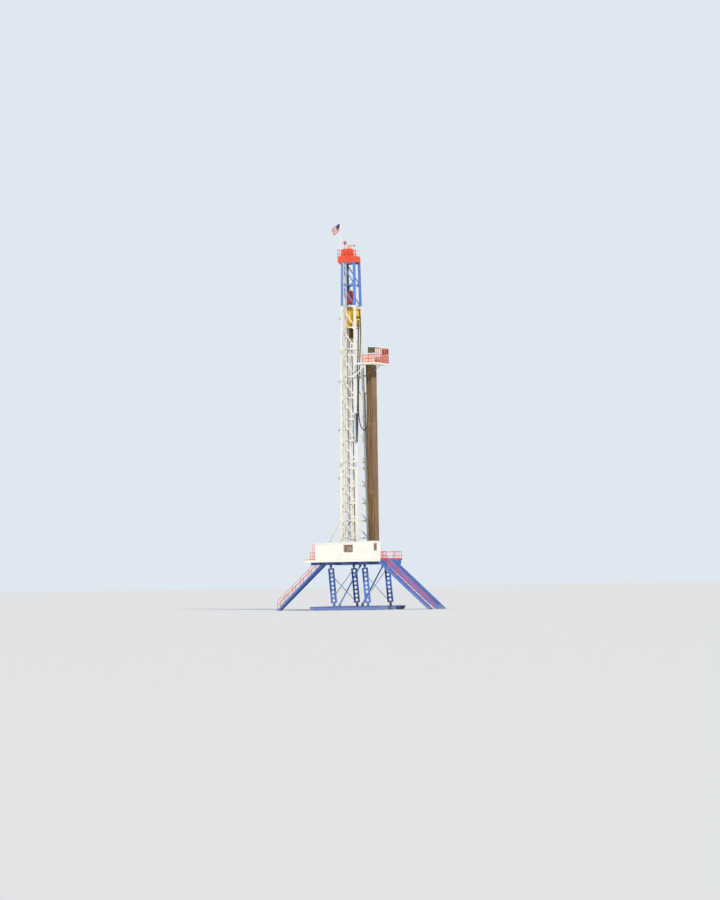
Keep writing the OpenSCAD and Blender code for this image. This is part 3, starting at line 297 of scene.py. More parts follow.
topWhite, topBlue, frameRed = (238, 234, 221), (92, 134, 212), (212, 122, 108)
looks = {
    "mast": paint("warmWhitePaint", topWhite, 0.45, 0.4),
    "mastTop": paint("mastTopPaint", topWhite, 0.4, 0.35, second=[("z", 22.0, topBlue)]),
    "white": paint("cabinWhitePaint", (246, 243, 232), 0.25, 0.25),
    "blue": paint("frameBluePaint", (74, 122, 204), 0.3, 0.4),
    "deepBlue": paint("floorBluePaint", (58, 100, 170), 0.35, 0.5),
    "crown": paint("crownOrangePaint", (238, 78, 38), 0.25, 0.25),
    "crownRail": paint("crownRailPaint", (234, 84, 44), 0.25, 0.25, second=[("x", 0.4, (226, 224, 218))]),
    "handrail": paint("railOrangePaint", (228, 78, 42), 0.25, 0.3),
    "red": paint("blockRedPaint", (212, 52, 34), 0.35, 0.35),
    "yellow": paint("driveYellowPaint", (240, 196, 48), 0.3, 0.4),
    "salmon": paint("boardSalmonPaint", (240, 190, 172), 0.25, 0.3, second=[
        (axis, level, frameRed) for axis, level in (("y", 1.1905), ("x", 2.3385), ("z", 18.3105))]),
    "panelEdge": paint("panelFramePaint", frameRed, 0.25, 0.3),
    "grey": paint("pipeGreyPaint", (176, 180, 184), 0.35, 0.4),
    "black": paint("motorBlackPaint", (44, 46, 50), 0.3, 0.5),
    "steel": worn("bareSteel", (150, 148, 144), 0.8),
    "brown": worn("greasyBrownSteel", (134, 96, 52), 0.35, 0.5, 0.5, rusty=0.6),
    "stem": worn("drillStemSteel", (92, 84, 76), 0.6, 0.4, 0.6),
    "rope": worn("wireRope", (96, 92, 86), 0.5, 0.5, 0.6, lay=190.0),
    "racked": rackedPipe(0.095, (1.0, 0.25)),
    "hose": rubber("hoseRubber", (34, 34, 36), 240.0),
    "cable": rubber("cableRubber", (42, 42, 46), 420.0),
    "deck": chequer(),
    "timber": planks(),
    "glass": pane(),
    "tarp": weave("oliveTarp", (94, 88, 60), 900.0, 0.35),
}
print("finishes made", len(looks))

dress = {
    "mast": "mast_near_lower mast_near_middle mast_far_lower mast_far_middle mast_back_lower mast_back_middle"
            " mast_shoes back_struts ladder",
    "mastTop": "mast_near_upper mast_far_upper mast_back_upper",
    "white": "flagpole board_frame board_fingers board_canopy doghouse_floor doghouse_shell doghouse_roof"
             " doghouse_door",
    "blue": "base_frame floor_columns leg_braces drawworks pipe_ramp front_stair rear_stair",
    "deepBlue": "floor_frame doghouse_brackets",
    "crown": "crown_frame crown_housing",
    "crownRail": "crown_rails",
    "handrail": "stair_rails floor_rails",
    "red": "rotary_table travelling_block",
    "yellow": "top_drive elevator",
    "salmon": "board_panels",
    "grey": "standpipe guide_rail",
    "steel": "crown_sheaves",
    "brown": "pipe_handler",
    "rope": "fast_line",
    "racked": "pipe_stands",
    "deck": "deck",
    "timber": "setback",
    "glass": "doghouse_glass",
}
for look, names in dress.items():
    for name in names.split():
        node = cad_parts[name]
        node.data.materials.clear()
        node.data.materials.append(looks[look])


# Surfaces
both = (-1, 1)


def joined(*columns):
    # columns of coordinates, each a number or an array, as one list of points
    return np.stack([v.ravel() for v in np.broadcast_arrays(*[np.asarray(c, float) for c in columns])], 1)


def unit(v):
    return v / np.linalg.norm(v, axis=-1, keepdims=True)


def ngon(k, r=1.0, turn=0.5):
    # k points of a circle, counterclockwise
    a = 2 * np.pi * (np.arange(k) + turn) / k
    return r * np.stack([np.cos(a), np.sin(a)], 1)


def oblong(w, d, cut=0.0):
    # rectangle about the origin with its corners cut off
    if not cut:
        return np.array([[-w, -d], [w, -d], [w, d], [-w, d]]) / 2
    x, y = w / 2, d / 2
    return np.array([[cut - x, -y], [x - cut, -y], [x, cut - y], [x, y - cut],
                     [x - cut, y], [cut - x, y], [-x, y - cut], [-x, cut - y]])


def around(count):
    # unit directions spread evenly in a level circle
    return joined(*ngon(count, 1.0, 0).T, 0.0)


class Shape:
    # the points and faces of one piece, gathered from whole arrays
    def __init__(self):
        self.points, self.faces, self.maps, self.total = [], [], [], 0

    def add(self, points, *faceSets, maps=None):
        points = np.asarray(points, float).reshape(-1, 3)
        self.points.append(points)
        self.maps.append(points[:, :2] if maps is None else np.asarray(maps, float).reshape(-1, 2))
        self.faces += [np.asarray(f, int) + self.total for f in faceSets]
        self.total += len(points)
        return self

    def swept(self, sections, heights, origins, axes):
        # one closed body at each origin: outline m at height m, its x, y and height along the rows of axes
        sections = np.asarray(sections, float)
        heights = np.asarray(heights, float)
        if sections.ndim == 2:
            sections = np.repeat(sections[None], len(heights), 0)
        m, k, _ = sections.shape
        lift = np.broadcast_to(heights[:, None, None], (m, k, 1))
        local = np.concatenate([sections, lift], 2).reshape(-1, 3)
        i, j = np.meshgrid(np.arange(m - 1), np.arange(k), indexing="ij")
        a, b = i * k + j, i * k + (j + 1) % k
        sides = np.stack([a, b, b + k, a + k], -1).reshape(-1, 4)
        ends = np.stack([np.arange(k)[::-1], (m - 1) * k + np.arange(k)])
        origins = np.atleast_2d(np.asarray(origins, float))
        n = len(origins)
        axes = np.broadcast_to(axes, (n, 3, 3))
        world = origins[:, None] + np.einsum("pi,nij->npj", local, axes)
        shift = (np.arange(n) * m * k)[:, None, None]
        return self.add(world, (sides[None] + shift).reshape(-1, 4), (ends[None] + shift).reshape(-1, k))

    def bars(self, p, q, outline, up=(0, 0, 1)):
        # straight bars from p to q, the outline's second axis as near to up as it can be
        p, q = np.atleast_2d(np.asarray(p, float)), np.atleast_2d(np.asarray(q, float))
        p, q = np.broadcast_arrays(p, q)
        w = q - p
        near = np.where(np.abs(unit(w) @ np.asarray(up, float))[:, None] > 0.98, (0.0, 1.0, 0.0), up)
        u = unit(np.cross(near, w))
        return self.swept(outline, [0, 1], p, np.stack([u, unit(np.cross(w, u)), w], 1))

    def plates(self, outline, origins, axes):
        # flat plates: the outline lies along the first two axes and the third carries the thickness
        axes = np.array(axes, float)
        return self.swept(outline[::-1] if np.linalg.det(axes) < 0 else outline, [0, 1], origins, axes)

    def boxes(self, corner, opposite):
        # upright boxes between two opposite corners each
        a, b = np.atleast_2d(np.asarray(corner, float)), np.atleast_2d(np.asarray(opposite, float))
        low, high = np.minimum(a, b), np.maximum(a, b)
        return self.swept(oblong(1, 1), [-0.5, 0.5], (low + high) / 2, (high - low)[:, :, None] * np.eye(3))

    def turned(self, profile, origins, direction, k=24):
        # profile points (radius, height) spun about the direction at each origin
        profile = np.asarray(profile, float)
        d = unit(np.atleast_2d(np.asarray(direction, float)))
        side = np.where(np.abs(d[:, 2:]) > 0.9, (1.0, 0.0, 0.0), (0.0, 0.0, 1.0))
        u = unit(np.cross(side, d))
        axes = np.stack([u, np.cross(d, u), d], 1)
        origins = np.atleast_2d(np.asarray(origins, float))
        axes = np.broadcast_to(axes, (max(len(origins), len(axes)), 3, 3))
        origins = np.broadcast_to(origins, (len(axes), 3))
        return self.swept(ngon(k)[None] * profile[:, :1, None], profile[:, 1], origins, axes)

    def bolts(self, origins, direction, size=0.011):
        # washer and hexagon head
        washer = [[size * 1.5, 0], [size * 1.5, size * 0.25]]
        head = [[size, size * 0.25], [size, size * 0.8], [size * 0.8, size]]
        return self.turned(washer, origins, direction, 12).turned(head, origins, direction, 6)

    def tube(self, path, radius, k=16, ends=None):
        # rings square to a smooth path; radius is one number, one per point or one per point and angle
        path = np.asarray(path, float)
        t = unit(np.gradient(path, axis=0))
        if ends is not None:
            t[0], t[-1] = ends
        ref = np.array([0.9, 0.1, 0.42])
        u = unit(np.cross(t, ref))
        v = np.cross(t, u)
        a = 2 * np.pi * np.arange(k) / k
        r = np.broadcast_to(np.asarray(radius, float), (k, len(path))).T if np.ndim(radius) < 2 else radius
        ring = (u[:, None] * np.cos(a)[None, :, None] + v[:, None] * np.sin(a)[None, :, None]) * r[..., None]
        points = path[:, None] + ring
        n = len(path)
        i, j = np.meshgrid(np.arange(n - 1), np.arange(k), indexing="ij")
        c, b = i * k + j, i * k + (j + 1) % k
        quads = np.stack([c, b, b + k, c + k], -1).reshape(-1, 4)
        caps = np.stack([np.arange(k)[::-1], (n - 1) * k + np.arange(k)])
        run = np.concatenate([[0], np.cumsum(np.linalg.norm(np.diff(path, axis=0), axis=1))])
        maps = np.stack([np.broadcast_to(a / (2 * np.pi), (n, k)), np.broadcast_to(run[:, None], (n, k))], -1)
        return self.add(points, quads, caps, maps=maps)

    def hoop(self, centre, across, up, wire, steps=32, k=8, span=(0, 2 * np.pi)):
        # bent rod: centre + cos(a) across + sin(a) up, closed unless its span is shorter
        a = np.linspace(*span, steps + 1)[:, None]
        return self.tube(np.asarray(centre, float) + np.cos(a) * across + np.sin(a) * up, wire, k)

    def patch(self, grid):
        # open surface through an array of m by n points, mapped in metres
        m, n, _ = grid.shape
        i, j = np.meshgrid(np.arange(m - 1), np.arange(n - 1), indexing="ij")
        a = i * n + j
        du = np.linalg.norm(np.diff(grid, axis=1, prepend=grid[:, :1]), axis=2).cumsum(1)
        dv = np.linalg.norm(np.diff(grid, axis=0, prepend=grid[:1]), axis=2).cumsum(0)
        quads = np.stack([a, a + 1, a + n + 1, a + n], -1).reshape(-1, 4)
        return self.add(grid, quads, maps=np.stack([du, dv], -1))

    def made(self, name, look, body, edge=0.0, smooth=False, finishSlot=None, nodes=()):
        # the finished object, riding on its body; edge is the width of the rounding
        points = np.concatenate(self.points)
        loops = np.concatenate([f.ravel() for f in self.faces])
        sizes = np.concatenate([np.full(len(f), f.shape[1]) for f in self.faces])
        data = bpy.data.meshes.new(name)
        data.vertices.add(len(points))
        data.vertices.foreach_set("co", points.ravel())
        data.loops.add(len(loops))
        data.loops.foreach_set("vertex_index", loops)
        data.polygons.add(len(sizes))
        data.polygons.foreach_set("loop_start", np.cumsum(sizes) - sizes)
        data.update(calc_edges=True)
        layer = data.uv_layers.new(name="flat")
        layer.data.foreach_set("uv", np.concatenate(self.maps)[loops].ravel())
        data.polygons.foreach_set("use_smooth", np.full(len(sizes), smooth))
        data.materials.append(looks[look])
        obj = bpy.data.objects.new(name, data)
        bpy.context.scene.collection.objects.link(obj)
        if edge:
            bevel = obj.modifiers.new("edge", "BEVEL")
            bevel.width, bevel.segments, bevel.limit_method = edge, 1, "ANGLE"
            bevel.harden_normals = False
        if nodes:
            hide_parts(*nodes)
        if body:
            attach(obj, body)
        return obj


def route(points, per):
    # smooth curve through the points: a Catmull-Rom spline with per steps between each two
    p = np.asarray(points, float) / 1000
    a, b, c, d = p[np.r_[0, 0:len(p) - 2]], p[:-1], p[1:], p[np.r_[2:len(p), len(p) - 1]]
    t = (np.arange(per) / per)[None, :, None]
    a, b, c, d = (v[:, None] for v in (a, b, c, d))
    curve = 2 * b + (c - a) * t + (2 * a - 5 * b + 4 * c - d) * t ** 2 + (3 * b - a - 3 * c + d) * t ** 3
    return np.concatenate([curve.reshape(-1, 3) / 2, p[-1:]])


rig, hoist = "rig", "hoist"

# Cords: the same routes as the solids, in millimetres
rotaryHose = {
    "route": [(600, 130, 21700), (612, 132, 21400), (640, 130, 21000), (655, 110, 20300),
              (655, 40, 19300), (652, -70, 18300), (648, -200, 17200), (642, -330, 16000),
              (640, -400, 14900), (652, -390, 14000), (690, -240, 13350), (740, 60, 13020),
              (790, 400, 13020), (825, 700, 13350), (835, 890, 13900), (820, 980, 14600),
              (780, 1010, 15200), (722, 985, 15600), (700, 880, 15680)],
    "diameter": 0.07, "per": 10, "top": (0, 0, -1), "end": (-0.04, -0.999, 0), "moves": (15.68, 21.7),
}


def makeHose():
    path = route(rotaryHose["route"], rotaryHose["per"])
    r = rotaryHose["diameter"] / 2
    body = Shape().tube(path, r, 20, unit(np.array((rotaryHose["top"], rotaryHose["end"]), float)))
    hose = body.made("rotaryHose", "hose", None, smooth=True, finishSlot="rubber", nodes=["rotary_hose"])
    # hammer unions: a ferrule with crimp rings, and a nut with three lugs
    ferrule = [[r, 0], [r * 1.35, 0.01], [r * 1.35, 0.05], [r * 1.25, 0.055], [r * 1.35, 0.06],
               [r * 1.35, 0.10], [r * 1.25, 0.105], [r * 1.35, 0.11], [r * 1.35, 0.15], [r * 1.08, 0.19],
               [r * 1.01, 0.2]]
    for name, at, away, owner in (("hoseTopUnion", path[0], path[2] - path[0], hoist),
                                  ("hoseLowUnion", path[-1], path[-3] - path[-1], rig)):
        away = unit(away)
        s = Shape().turned(ferrule, at, away, 24)
        s.turned([[r * 1.3, -0.06], [r * 1.6, -0.05], [r * 1.6, 0.0], [r * 1.3, 0.012]], at, away, 24)
        side = unit(np.cross(away, (0.3, 0.5, 0.81)))
        other = np.cross(away, side)
        for a in np.arange(3) * 2 * np.pi / 3:
            out = r * (np.cos(a) * side + np.sin(a) * other)
            foot = at - away * 0.03
            s.bars(foot + out * 1.5, foot + out * 2.1, oblong(0.03, 0.04, 0.006), away)
        s.made(name, "steel", owner, 0.002, finishSlot="bare_steel")
    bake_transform(hose)


serviceLoop = {
    "route": [(590, -130, 20940), (600, -135, 20600), (620, -200, 19800), (630, -320, 18600),
              (640, -440, 17400), (690, -590, 15600), (705, -690, 14000), (705, -770, 13000),
              (700, -820, 12500), (702, -860, 12200), (715, -920, 12110), (730, -980, 12200),
              (740, -1010, 12500), (735, -1010, 13000), (715, -960, 13700), (700, -930, 14150)],
    "diameter": 0.09, "per": 12, "hoses": 5, "ties": 0.75, "moves": (14.15, 20.94),
    "gland": [[0.066, 0], [0.066, 0.02], [0.052, 0.025], [0.052, 0.06], [0.047, 0.09], [0.0455, 0.1]],
}


def makeLoop():
    # a bundle of five hoses that twists slowly, drawn round at each tie:
    # radius = the outer edge of the hoses round the circle, eased to a full circle near a tie
    path = route(serviceLoop["route"], serviceLoop["per"])
    n, k = serviceLoop["hoses"], 40
    full = serviceLoop["diameter"] / 2
    run = np.concatenate([[0], np.cumsum(np.linalg.norm(np.diff(path, axis=0), axis=1))])
    a = 2 * np.pi * np.arange(k) / k
    small = full * 0.42
    swing = (a[None, :] + 0.5 * run[:, None]) % (2 * np.pi / n) - np.pi / n
    far = full - small
    bulge = np.maximum(small ** 2 - (far * np.sin(swing)) ** 2, (0.25 * small) ** 2)
    lobes = far * np.cos(swing) + np.sqrt(bulge)
    gap = np.abs((run / serviceLoop["ties"] + 0.5) % 1 - 0.5) * serviceLoop["ties"]
    tied = np.clip(1.6 - gap / 0.03, 0, 1)[:, None]
    radius = np.minimum(lobes, full) * (1 - tied) + full * tied
    body = Shape().tube(path, radius, k, ((0, 0, -1), (0, 0, 1)))
    loop = body.made("serviceLoop", "cable", None, smooth=True, finishSlot="rubber", nodes=["service_loop"])
    away = (0, 0, -1)
    for name, at, owner in (("loopTopGland", path[0], hoist), ("loopLowGland", path[-1], rig)):
        s = Shape().turned(serviceLoop["gland"], at, away, 24)
        s.bolts(at + joined(*ngon(6, 0.058, 0).T, -0.02), away, 0.007)
        s.made(name, "steel", owner, 0.0015, finishSlot="bare_steel")
    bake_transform(loop)


makeHose()
makeLoop()
print("cords made")

# Wire rope and drill stem between the parts that move and those that don't
lines = {
    "reach": 0.2182, "pitch": 0.056, "count": 4, "top": 25.765, "low": 22.76, "radius": 0.012, "steps": 24,
}


def makeLines():
    # straight falls on both sides of the sheaves, with rings along them
    z = np.linspace(lines["top"], lines["low"], lines["steps"])
    s = Shape()
    for side in both:
        for y in lines["pitch"] * (np.arange(lines["count"]) - (lines["count"] - 1) / 2):
            s.tube(joined(side * lines["reach"], y, z), lines["radius"], 10)
    ropes = s.made("drillingLines", "rope", None, smooth=True, finishSlot="wire_rope",
                   nodes=["drilling_lines"])
    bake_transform(ropes)


# first and last: how far the joints keep from the ends; ring: spacing of the rings of plain pipe
stem = {
    "low": 3.4, "top": 20.4096, "radius": 0.03175, "joint": 0.042, "length": 4.833, "first": 1.6, "last": 1.5,
    "ring": 0.25,
}


def makeStem():
    # profile (radius, height): plain pipe with a taper and a tool joint every length
    r, j = stem["radius"], stem["joint"]
    knots = [(r, stem["low"])]
    for z in np.arange(stem["low"] + stem["first"], stem["top"] - stem["last"], stem["length"]):
        knots += [(r, z - 0.18), (j, z - 0.14), (j, z - 0.004), (j - 0.003, z), (j, z + 0.004), (j, z + 0.12),
                  (r, z + 0.16)]
    knots = np.array(knots + [(r, stem["top"])])
    z = np.unique(np.concatenate([knots[:, 1], np.arange(stem["low"], stem["top"], stem["ring"])]))
    profile = np.stack([np.interp(z, knots[:, 1], knots[:, 0]), z], 1)
    s = Shape().turned(profile, (0, 0, 0), (0, 0, 1), 24)
    pipe = s.made("drillStem", "stem", None, smooth=True, finishSlot="pipe_steel", nodes=["drill_stem"])
    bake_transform(pipe)


makeLines()
makeStem()
print("ropes and stem made")

# Cloth
# droop: heading at the pole and what it gains along the fly, in degrees; rings: x, y, radius and wire
flag = {
    "pole": -0.6272, "y": -0.43, "top": 28.02, "fly": 0.82, "hoist": 0.5, "stripes": 7, "grid": (25, 49),
    "droop": (20, 26), "lean": 22, "wave": 0.42, "rings": (-0.61, -0.43, 0.021, 0.003), "ringInset": 0.02,
}


def flagColour(f, u, v):
    # plain stripes along the fly with a plain field next to the pole
    band = (v / (flag["hoist"] / flag["stripes"])).apply("FLOOR").apply("MODULO", 2.0)
    field = (u < flag["fly"] * 0.4) * (v < flag["hoist"] * 4 / 7)
    return f.mix(field, f.mix(band, srgb(196, 62, 64), srgb(226, 220, 212)), srgb(62, 72, 104))


looks["flag"] = weave("flagCloth", flagColour, 2600.0, 0.2, 0.8)


def makeFlag():
    # heading of the fly falls from 20 to 46 degrees as it hangs off the pole, with waves across it:
    # point(u, v) = pole + run along the heading + v down the hoist, leaning more along the fly
    m, n = flag["grid"]
    u = np.linspace(0, 1, n)[None, :]
    v = np.linspace(0, 1, m)[:, None]
    start, gain = flag["droop"]
    down = np.radians(start + gain * u)
    wave = flag["wave"] * np.sin(2 * np.pi * (1.35 * u - 0.25 * v) + 0.4) * np.minimum(3 * u, 1)
    step = np.r_[0, np.full(n - 1, flag["fly"] / (n - 1))]
    lean = np.radians(flag["lean"]) * u ** 1.2
    x = flag["pole"] - np.cumsum(step * np.cos(wave) * np.cos(down), 1) + flag["hoist"] * v * np.sin(lean)
    y = flag["y"] + np.cumsum(step * np.sin(wave), 1)
    z = flag["top"] - np.cumsum(step * np.cos(wave) * np.sin(down), 1) - flag["hoist"] * v * np.cos(lean)
    cloth = Shape().patch(np.stack([x, y, z], 2))
    cloth = cloth.made("flagCloth", "flag", rig, smooth=True, finishSlot="flag_cloth", nodes=["flag"])
    rings = Shape()
    x, y, r, wire = flag["rings"]
    for drop in (flag["ringInset"], flag["hoist"] - flag["ringInset"]):
        rings.hoop((x, y, flag["top"] - drop), (r, 0, 0), (0, r, 0), wire, 18, 6)
    rings.made("flagRings", "steel", rig, smooth=True, finishSlot="bare_steel")


# lace: half depth, half height and wire of a turn
tarp = {
    "front": 2.375, "length": 0.56, "y": 1.2022, "low": 18.42, "height": 0.42, "grid": (17, 23),
    "laces": 5, "laceY": 1.181, "laceUp": 0.008, "lace": (0.026, 0.024, 0.003),
}


def makeTarps():
    # wind sheets pulled flat by their lacing, with slack between the eyelets: the depth is a low belly,
    # small scallops that die out to mid height, and a slanting wave
    m, n = tarp["grid"]
    u = np.linspace(0, 1, n)[None, :]
    v = np.linspace(0, 1, m)[:, None]
    belly = np.sin(np.pi * v)
    sag = 0.006 * np.sin(np.pi * u) * belly + 0.002 * np.sin(9 * np.pi * u) * (1 - belly)
    sag = sag + 0.003 * np.sin(5 * u + 7 * v)
    x = tarp["front"] - tarp["length"] * (1 - u) + 0 * v
    z = tarp["low"] + tarp["height"] * v + 0 * u
    for side, name in zip(both, ("windSheetNear", "windSheetFar")):
        grid = np.stack([x, side * (tarp["y"] + sag), z], 2)
        cloth = Shape().patch(grid if side < 0 else grid[:, ::-1]).made(
            name, "tarp", rig, smooth=True, finishSlot="olive_sheet", nodes=["board_shelter"])
    # lacing: short turns of cord over the edge, through the eyelets and round the frame
    s = Shape()
    wide, high, wire = tarp["lace"]
    for side in both:
        for x in tarp["front"] - tarp["length"] * (np.arange(tarp["laces"]) + 0.5) / tarp["laces"]:
            centre = x, side * tarp["laceY"], tarp["low"] + tarp["height"] + tarp["laceUp"]
            s.hoop(centre, (0, side * wide, 0), (0, 0, high), wire, 12, 6)
    s.made("sheetLacing", "tarp", rig, smooth=True, finishSlot="olive_sheet")


makeFlag()
makeTarps()
print("cloth made")

# Mast. From here on a pair in a dictionary is from and to, in metres, unless its note says more;
# x runs along the rig, y across and z up, and a profile lists radius and height
# base and top hold the distances of the leg centres from the two centre planes at floor and crown
mast = {
    "floor": 3.6, "crown": 25.145, "base": (0.655, 0.95), "top": (0.47, 0.43), "leg": 0.15, "girt": 0.08,
    "web": 0.01, "splices": (10.455, 18.615),
    "levels": np.r_[5.185 + 1.26 * np.arange(5), 10.685 + 1.54 * np.arange(6),
                    18.845 + 1.56 * np.arange(4), 25.105],
}


def legAt(z):
    # distances of the leg centres from the rig's two centre planes
    t = (np.asarray(z, float) - mast["floor"]) / (mast["crown"] - mast["floor"])
    return [low + (high - low) * t for low, high in zip(mast["base"], mast["top"])]


splice = {
    "rows": 0.06 * (np.arange(6) - 2.5), "across": np.array([-0.038, 0.038]), "face": 0.0945, "bolt": 0.013,
}


def makeSplices():
    # bolt groups of the lapped plates on the outer flanges
    s = Shape()
    for level in mast["splices"]:
        z = level + splice["rows"][:, None]
        x, y = legAt(z)
        for sx in both:
            for sy in both:
                at = joined(sx * x + splice["across"], sy * (y + splice["face"]), z)
                s.bolts(at, (0, sy, 0), splice["bolt"])
    s.made("spliceBolts", "steel", rig, finishSlot="bare_steel")


gusset = {
    "outline": np.array([(0, -0.16), (0.05, -0.16), (0.27, -0.036), (0.27, 0.036), (0.05, 0.16), (0, 0.16)]),
    "thick": 0.01, "clear": 0.001,
}


def makeGussets():
    # plates from the leg's web along both faces of the side girts, and on the back of the rear girts
    s = Shape()
    z = mast["levels"][1:-1]
    x, y = legAt(z)
    half, outline, thick = mast["girt"] / 2, gusset["outline"], gusset["thick"]
    for sx in both:
        for sy in both:
            for out in both:
                at = joined(sx * (x - mast["web"]), sy * y + out * half, z)
                s.plates(outline, at, ((-sx, 0, 0), (0, 0, 1), (0, out * thick, 0)))
        at = joined(-x - half, sx * (y - mast["leg"] / 2 - gusset["clear"]), z)
        s.plates(outline, at, ((0, -sx, 0), (0, 0, 1), (-thick, 0, 0)))
    s.made("mastGussets", "mastTop", rig, 0.002, finishSlot="white_paint")


stiffener = {
    "near": 0.009, "far": 0.07, "half": 0.054, "shift": 0.05, "thick": 0.012, "clear": 0.26, "end": 0.1,
}


def makeStiffeners():
    # between the flanges of the legs, on both sides of the web, at each girt and half way
    level = mast["levels"]
    z = np.sort(np.r_[level, (level[1:] + level[:-1]) / 2])
    away = np.abs(z[:, None] - np.array(mast["splices"])).min(1)
    z = z[(z < mast["crown"] - stiffener["end"]) & (away > stiffener["clear"])]
    x, y = legAt(z)
    half = stiffener["half"]
    s = Shape()
    for sx in both:
        for sy in both:
            for face in both:
                foot = z + stiffener["shift"] * face
                s.boxes(joined(sx * x + face * stiffener["near"], sy * y - half, foot),
                        joined(sx * x + face * stiffener["far"], sy * y + half, foot + stiffener["thick"]))
    s.made("legStiffeners", "mastTop", rig, finishSlot="white_paint")


# ear: near and far edge beyond the clip and place of its bolt
ladderFit = {
    "x": -0.25, "clip": 0.128, "wide": 0.012, "high": 0.03, "wireAt": 0.092, "earAt": 0.049, "girtAt": 0.041,
    "ear": (0.020, 0.034, 0.03), "bolt": 0.008, "ends": (3.7, 25.1), "wire": 0.005,
}


def makeLadderFit():
    # clips on the girts, with a bolt each, and the fall-arrest wire up the middle
    z = mast["levels"]
    y = -legAt(z)[1]
    w, h, far, girt = (ladderFit[key] for key in ("wide", "high", "wireAt", "girtAt"))
    earIn, earOut, boltAt = ladderFit["ear"]
    s = Shape()
    for side in both:
        at = ladderFit["x"] + side * ladderFit["clip"]
        s.boxes(joined(at - w, y - far, z - h), joined(at + w, y - girt, z + h))
        s.boxes(joined(at - w + side * earIn, y - ladderFit["earAt"], z - h),
                joined(at + w + side * earOut, y - girt, z + h))
        s.bolts(joined(at + side * boltAt, y - ladderFit["earAt"] + 0.001, z), (0, -1, 0), ladderFit["bolt"])
    ends = np.array(ladderFit["ends"])
    path = joined(ladderFit["x"], -legAt(ends)[1] - far, ends)
    s.bars(path[:1], path[1:], ngon(6, ladderFit["wire"]))
    s.made("ladderFit", "steel", rig, finishSlot="bare_steel")


# saddle and box: depth off the leg, bottom and top beside their level
wiring = {
    "radius": 0.016, "behind": 0.028, "apart": 0.022, "ends": (3.75, 24.95), "lamps": (9.6, 13.1, 16.6, 21.2),
    "web": 0.009, "half": 0.05, "saddle": (0.05, 0, 0.03), "over": 0.3, "box": (0.075, -0.16, -0.04),
}


def makeWiring():
    # two conduits in the channel of each rear leg with saddles, and branch boxes at the lamps
    pipes, clips = Shape(), Shape()
    z = np.linspace(*wiring["ends"], 40)
    x, y = legAt(z)
    half = wiring["half"]
    for sy in both:
        for off in both:
            pipes.tube(joined(-x - wiring["behind"], sy * y + off * wiring["apart"], z), wiring["radius"], 8)
        for at, (deep, low, high) in ((mast["levels"][:-1] + wiring["over"], wiring["saddle"]),
                                      (np.array(wiring["lamps"]), wiring["box"])):
            bx, by = legAt(at)
            clips.boxes(joined(-bx - deep, sy * by - half, at + low),
                        joined(-bx - wiring["web"], sy * by + half, at + high))
    pipes.made("mastConduit", "grey", rig, smooth=True, finishSlot="grey_paint")
    clips.made("conduitSaddles", "steel", rig, 0.002, finishSlot="bare_steel")


lamp = {
    "arm": 0.16, "sink": 0.005, "body": (0.02, 0, -0.02), "wire": 0.003, "wires": 6,
    "bodyProfile": [[0.05, -0.104], [0.07, -0.1], [0.07, -0.085], [0.046, -0.07], [0.055, -0.06],
                    [0.046, -0.05], [0.055, -0.04], [0.046, -0.03], [0.055, -0.02], [0.05, 0], [0.022, 0.01]],
    "glassProfile": [[0.001, -0.20], [0.02, -0.197], [0.04, -0.18], [0.048, -0.15], [0.048, -0.105]],
    "cage": np.array([(0.058, -0.1), (0.06, -0.15), (0.05, -0.19), (0.02, -0.212)]),
}


def makeLamps():
    # flameproof lamps on short arms off the rear legs: finned body, glass and wire guard
    arms, body, glass = Shape(), Shape(), Shape()
    z = np.array(wiring["lamps"])
    x, y = legAt(z)
    turn = np.linspace(0, 2 * np.pi, lamp["wires"], endpoint=False)
    for sy in both:
        root = joined(-x - mast["leg"] / 2 + lamp["sink"], sy * y, z)
        tip = root - (lamp["arm"], 0, 0)
        arms.bars(root, tip, oblong(0.03, 0.05, 0.004))
        arms.bars(root + (0, 0, -0.14), tip + (0.03, 0, -0.01), oblong(0.012, 0.03))
        arms.boxes(root - (0, 0.06, 0.16), root + (0.012, 0.06, 0.05))
        at = tip + lamp["body"]
        body.turned(lamp["bodyProfile"], at, (0, 0, 1), 16)
        glass.turned(lamp["glassProfile"], at, (0, 0, 1), 16)
        for a in turn:
            away, z0 = lamp["cage"].T
            path = at[:, None] + np.stack([away * np.cos(a), away * np.sin(a), z0], 1)
            arms.bars(path[:, :-1].reshape(-1, 3), path[:, 1:].reshape(-1, 3), ngon(4, lamp["wire"]))
    arms.made("lampArms", "mast", rig, finishSlot="white_paint")
    glass.made("lampGlasses", "lampGlass", rig, smooth=True, finishSlot="window_glass")
    body.made("lampBodies", "grey", rig, smooth=True, finishSlot="grey_paint")


def lampGlass():
    f = Finish("lampGlass")
    haze = f.noise(30.0, 4.0)
    return f.set(Base_Color=f.mix(haze, srgb(222, 220, 206), srgb(186, 182, 166)), Coat_Weight=1.0,
                 Roughness=0.12 + 0.2 * haze)


looks["lampGlass"] = lampGlass()
makeSplices()
makeGussets()
makeStiffeners()
makeLadderFit()
makeWiring()
makeLamps()
print("mast fitted out")

# Crown
# rib: width, depth and corner; flange: width and thickness; eye: height, ring and wire
crown = {
    "top": 25.525, "roof": 26.165, "half": 0.29, "foot": (-0.69, 0.34), "head": (-0.50, 0.15),
    "ribs": 5, "rib": (0.04, 0.016, 0.003), "flange": (0.03, 0.014), "flangeBolts": 12, "bolt": 0.009,
    "eyes": (-0.4, 0.05), "eye": (0.07, 0.03, 0.008),
}


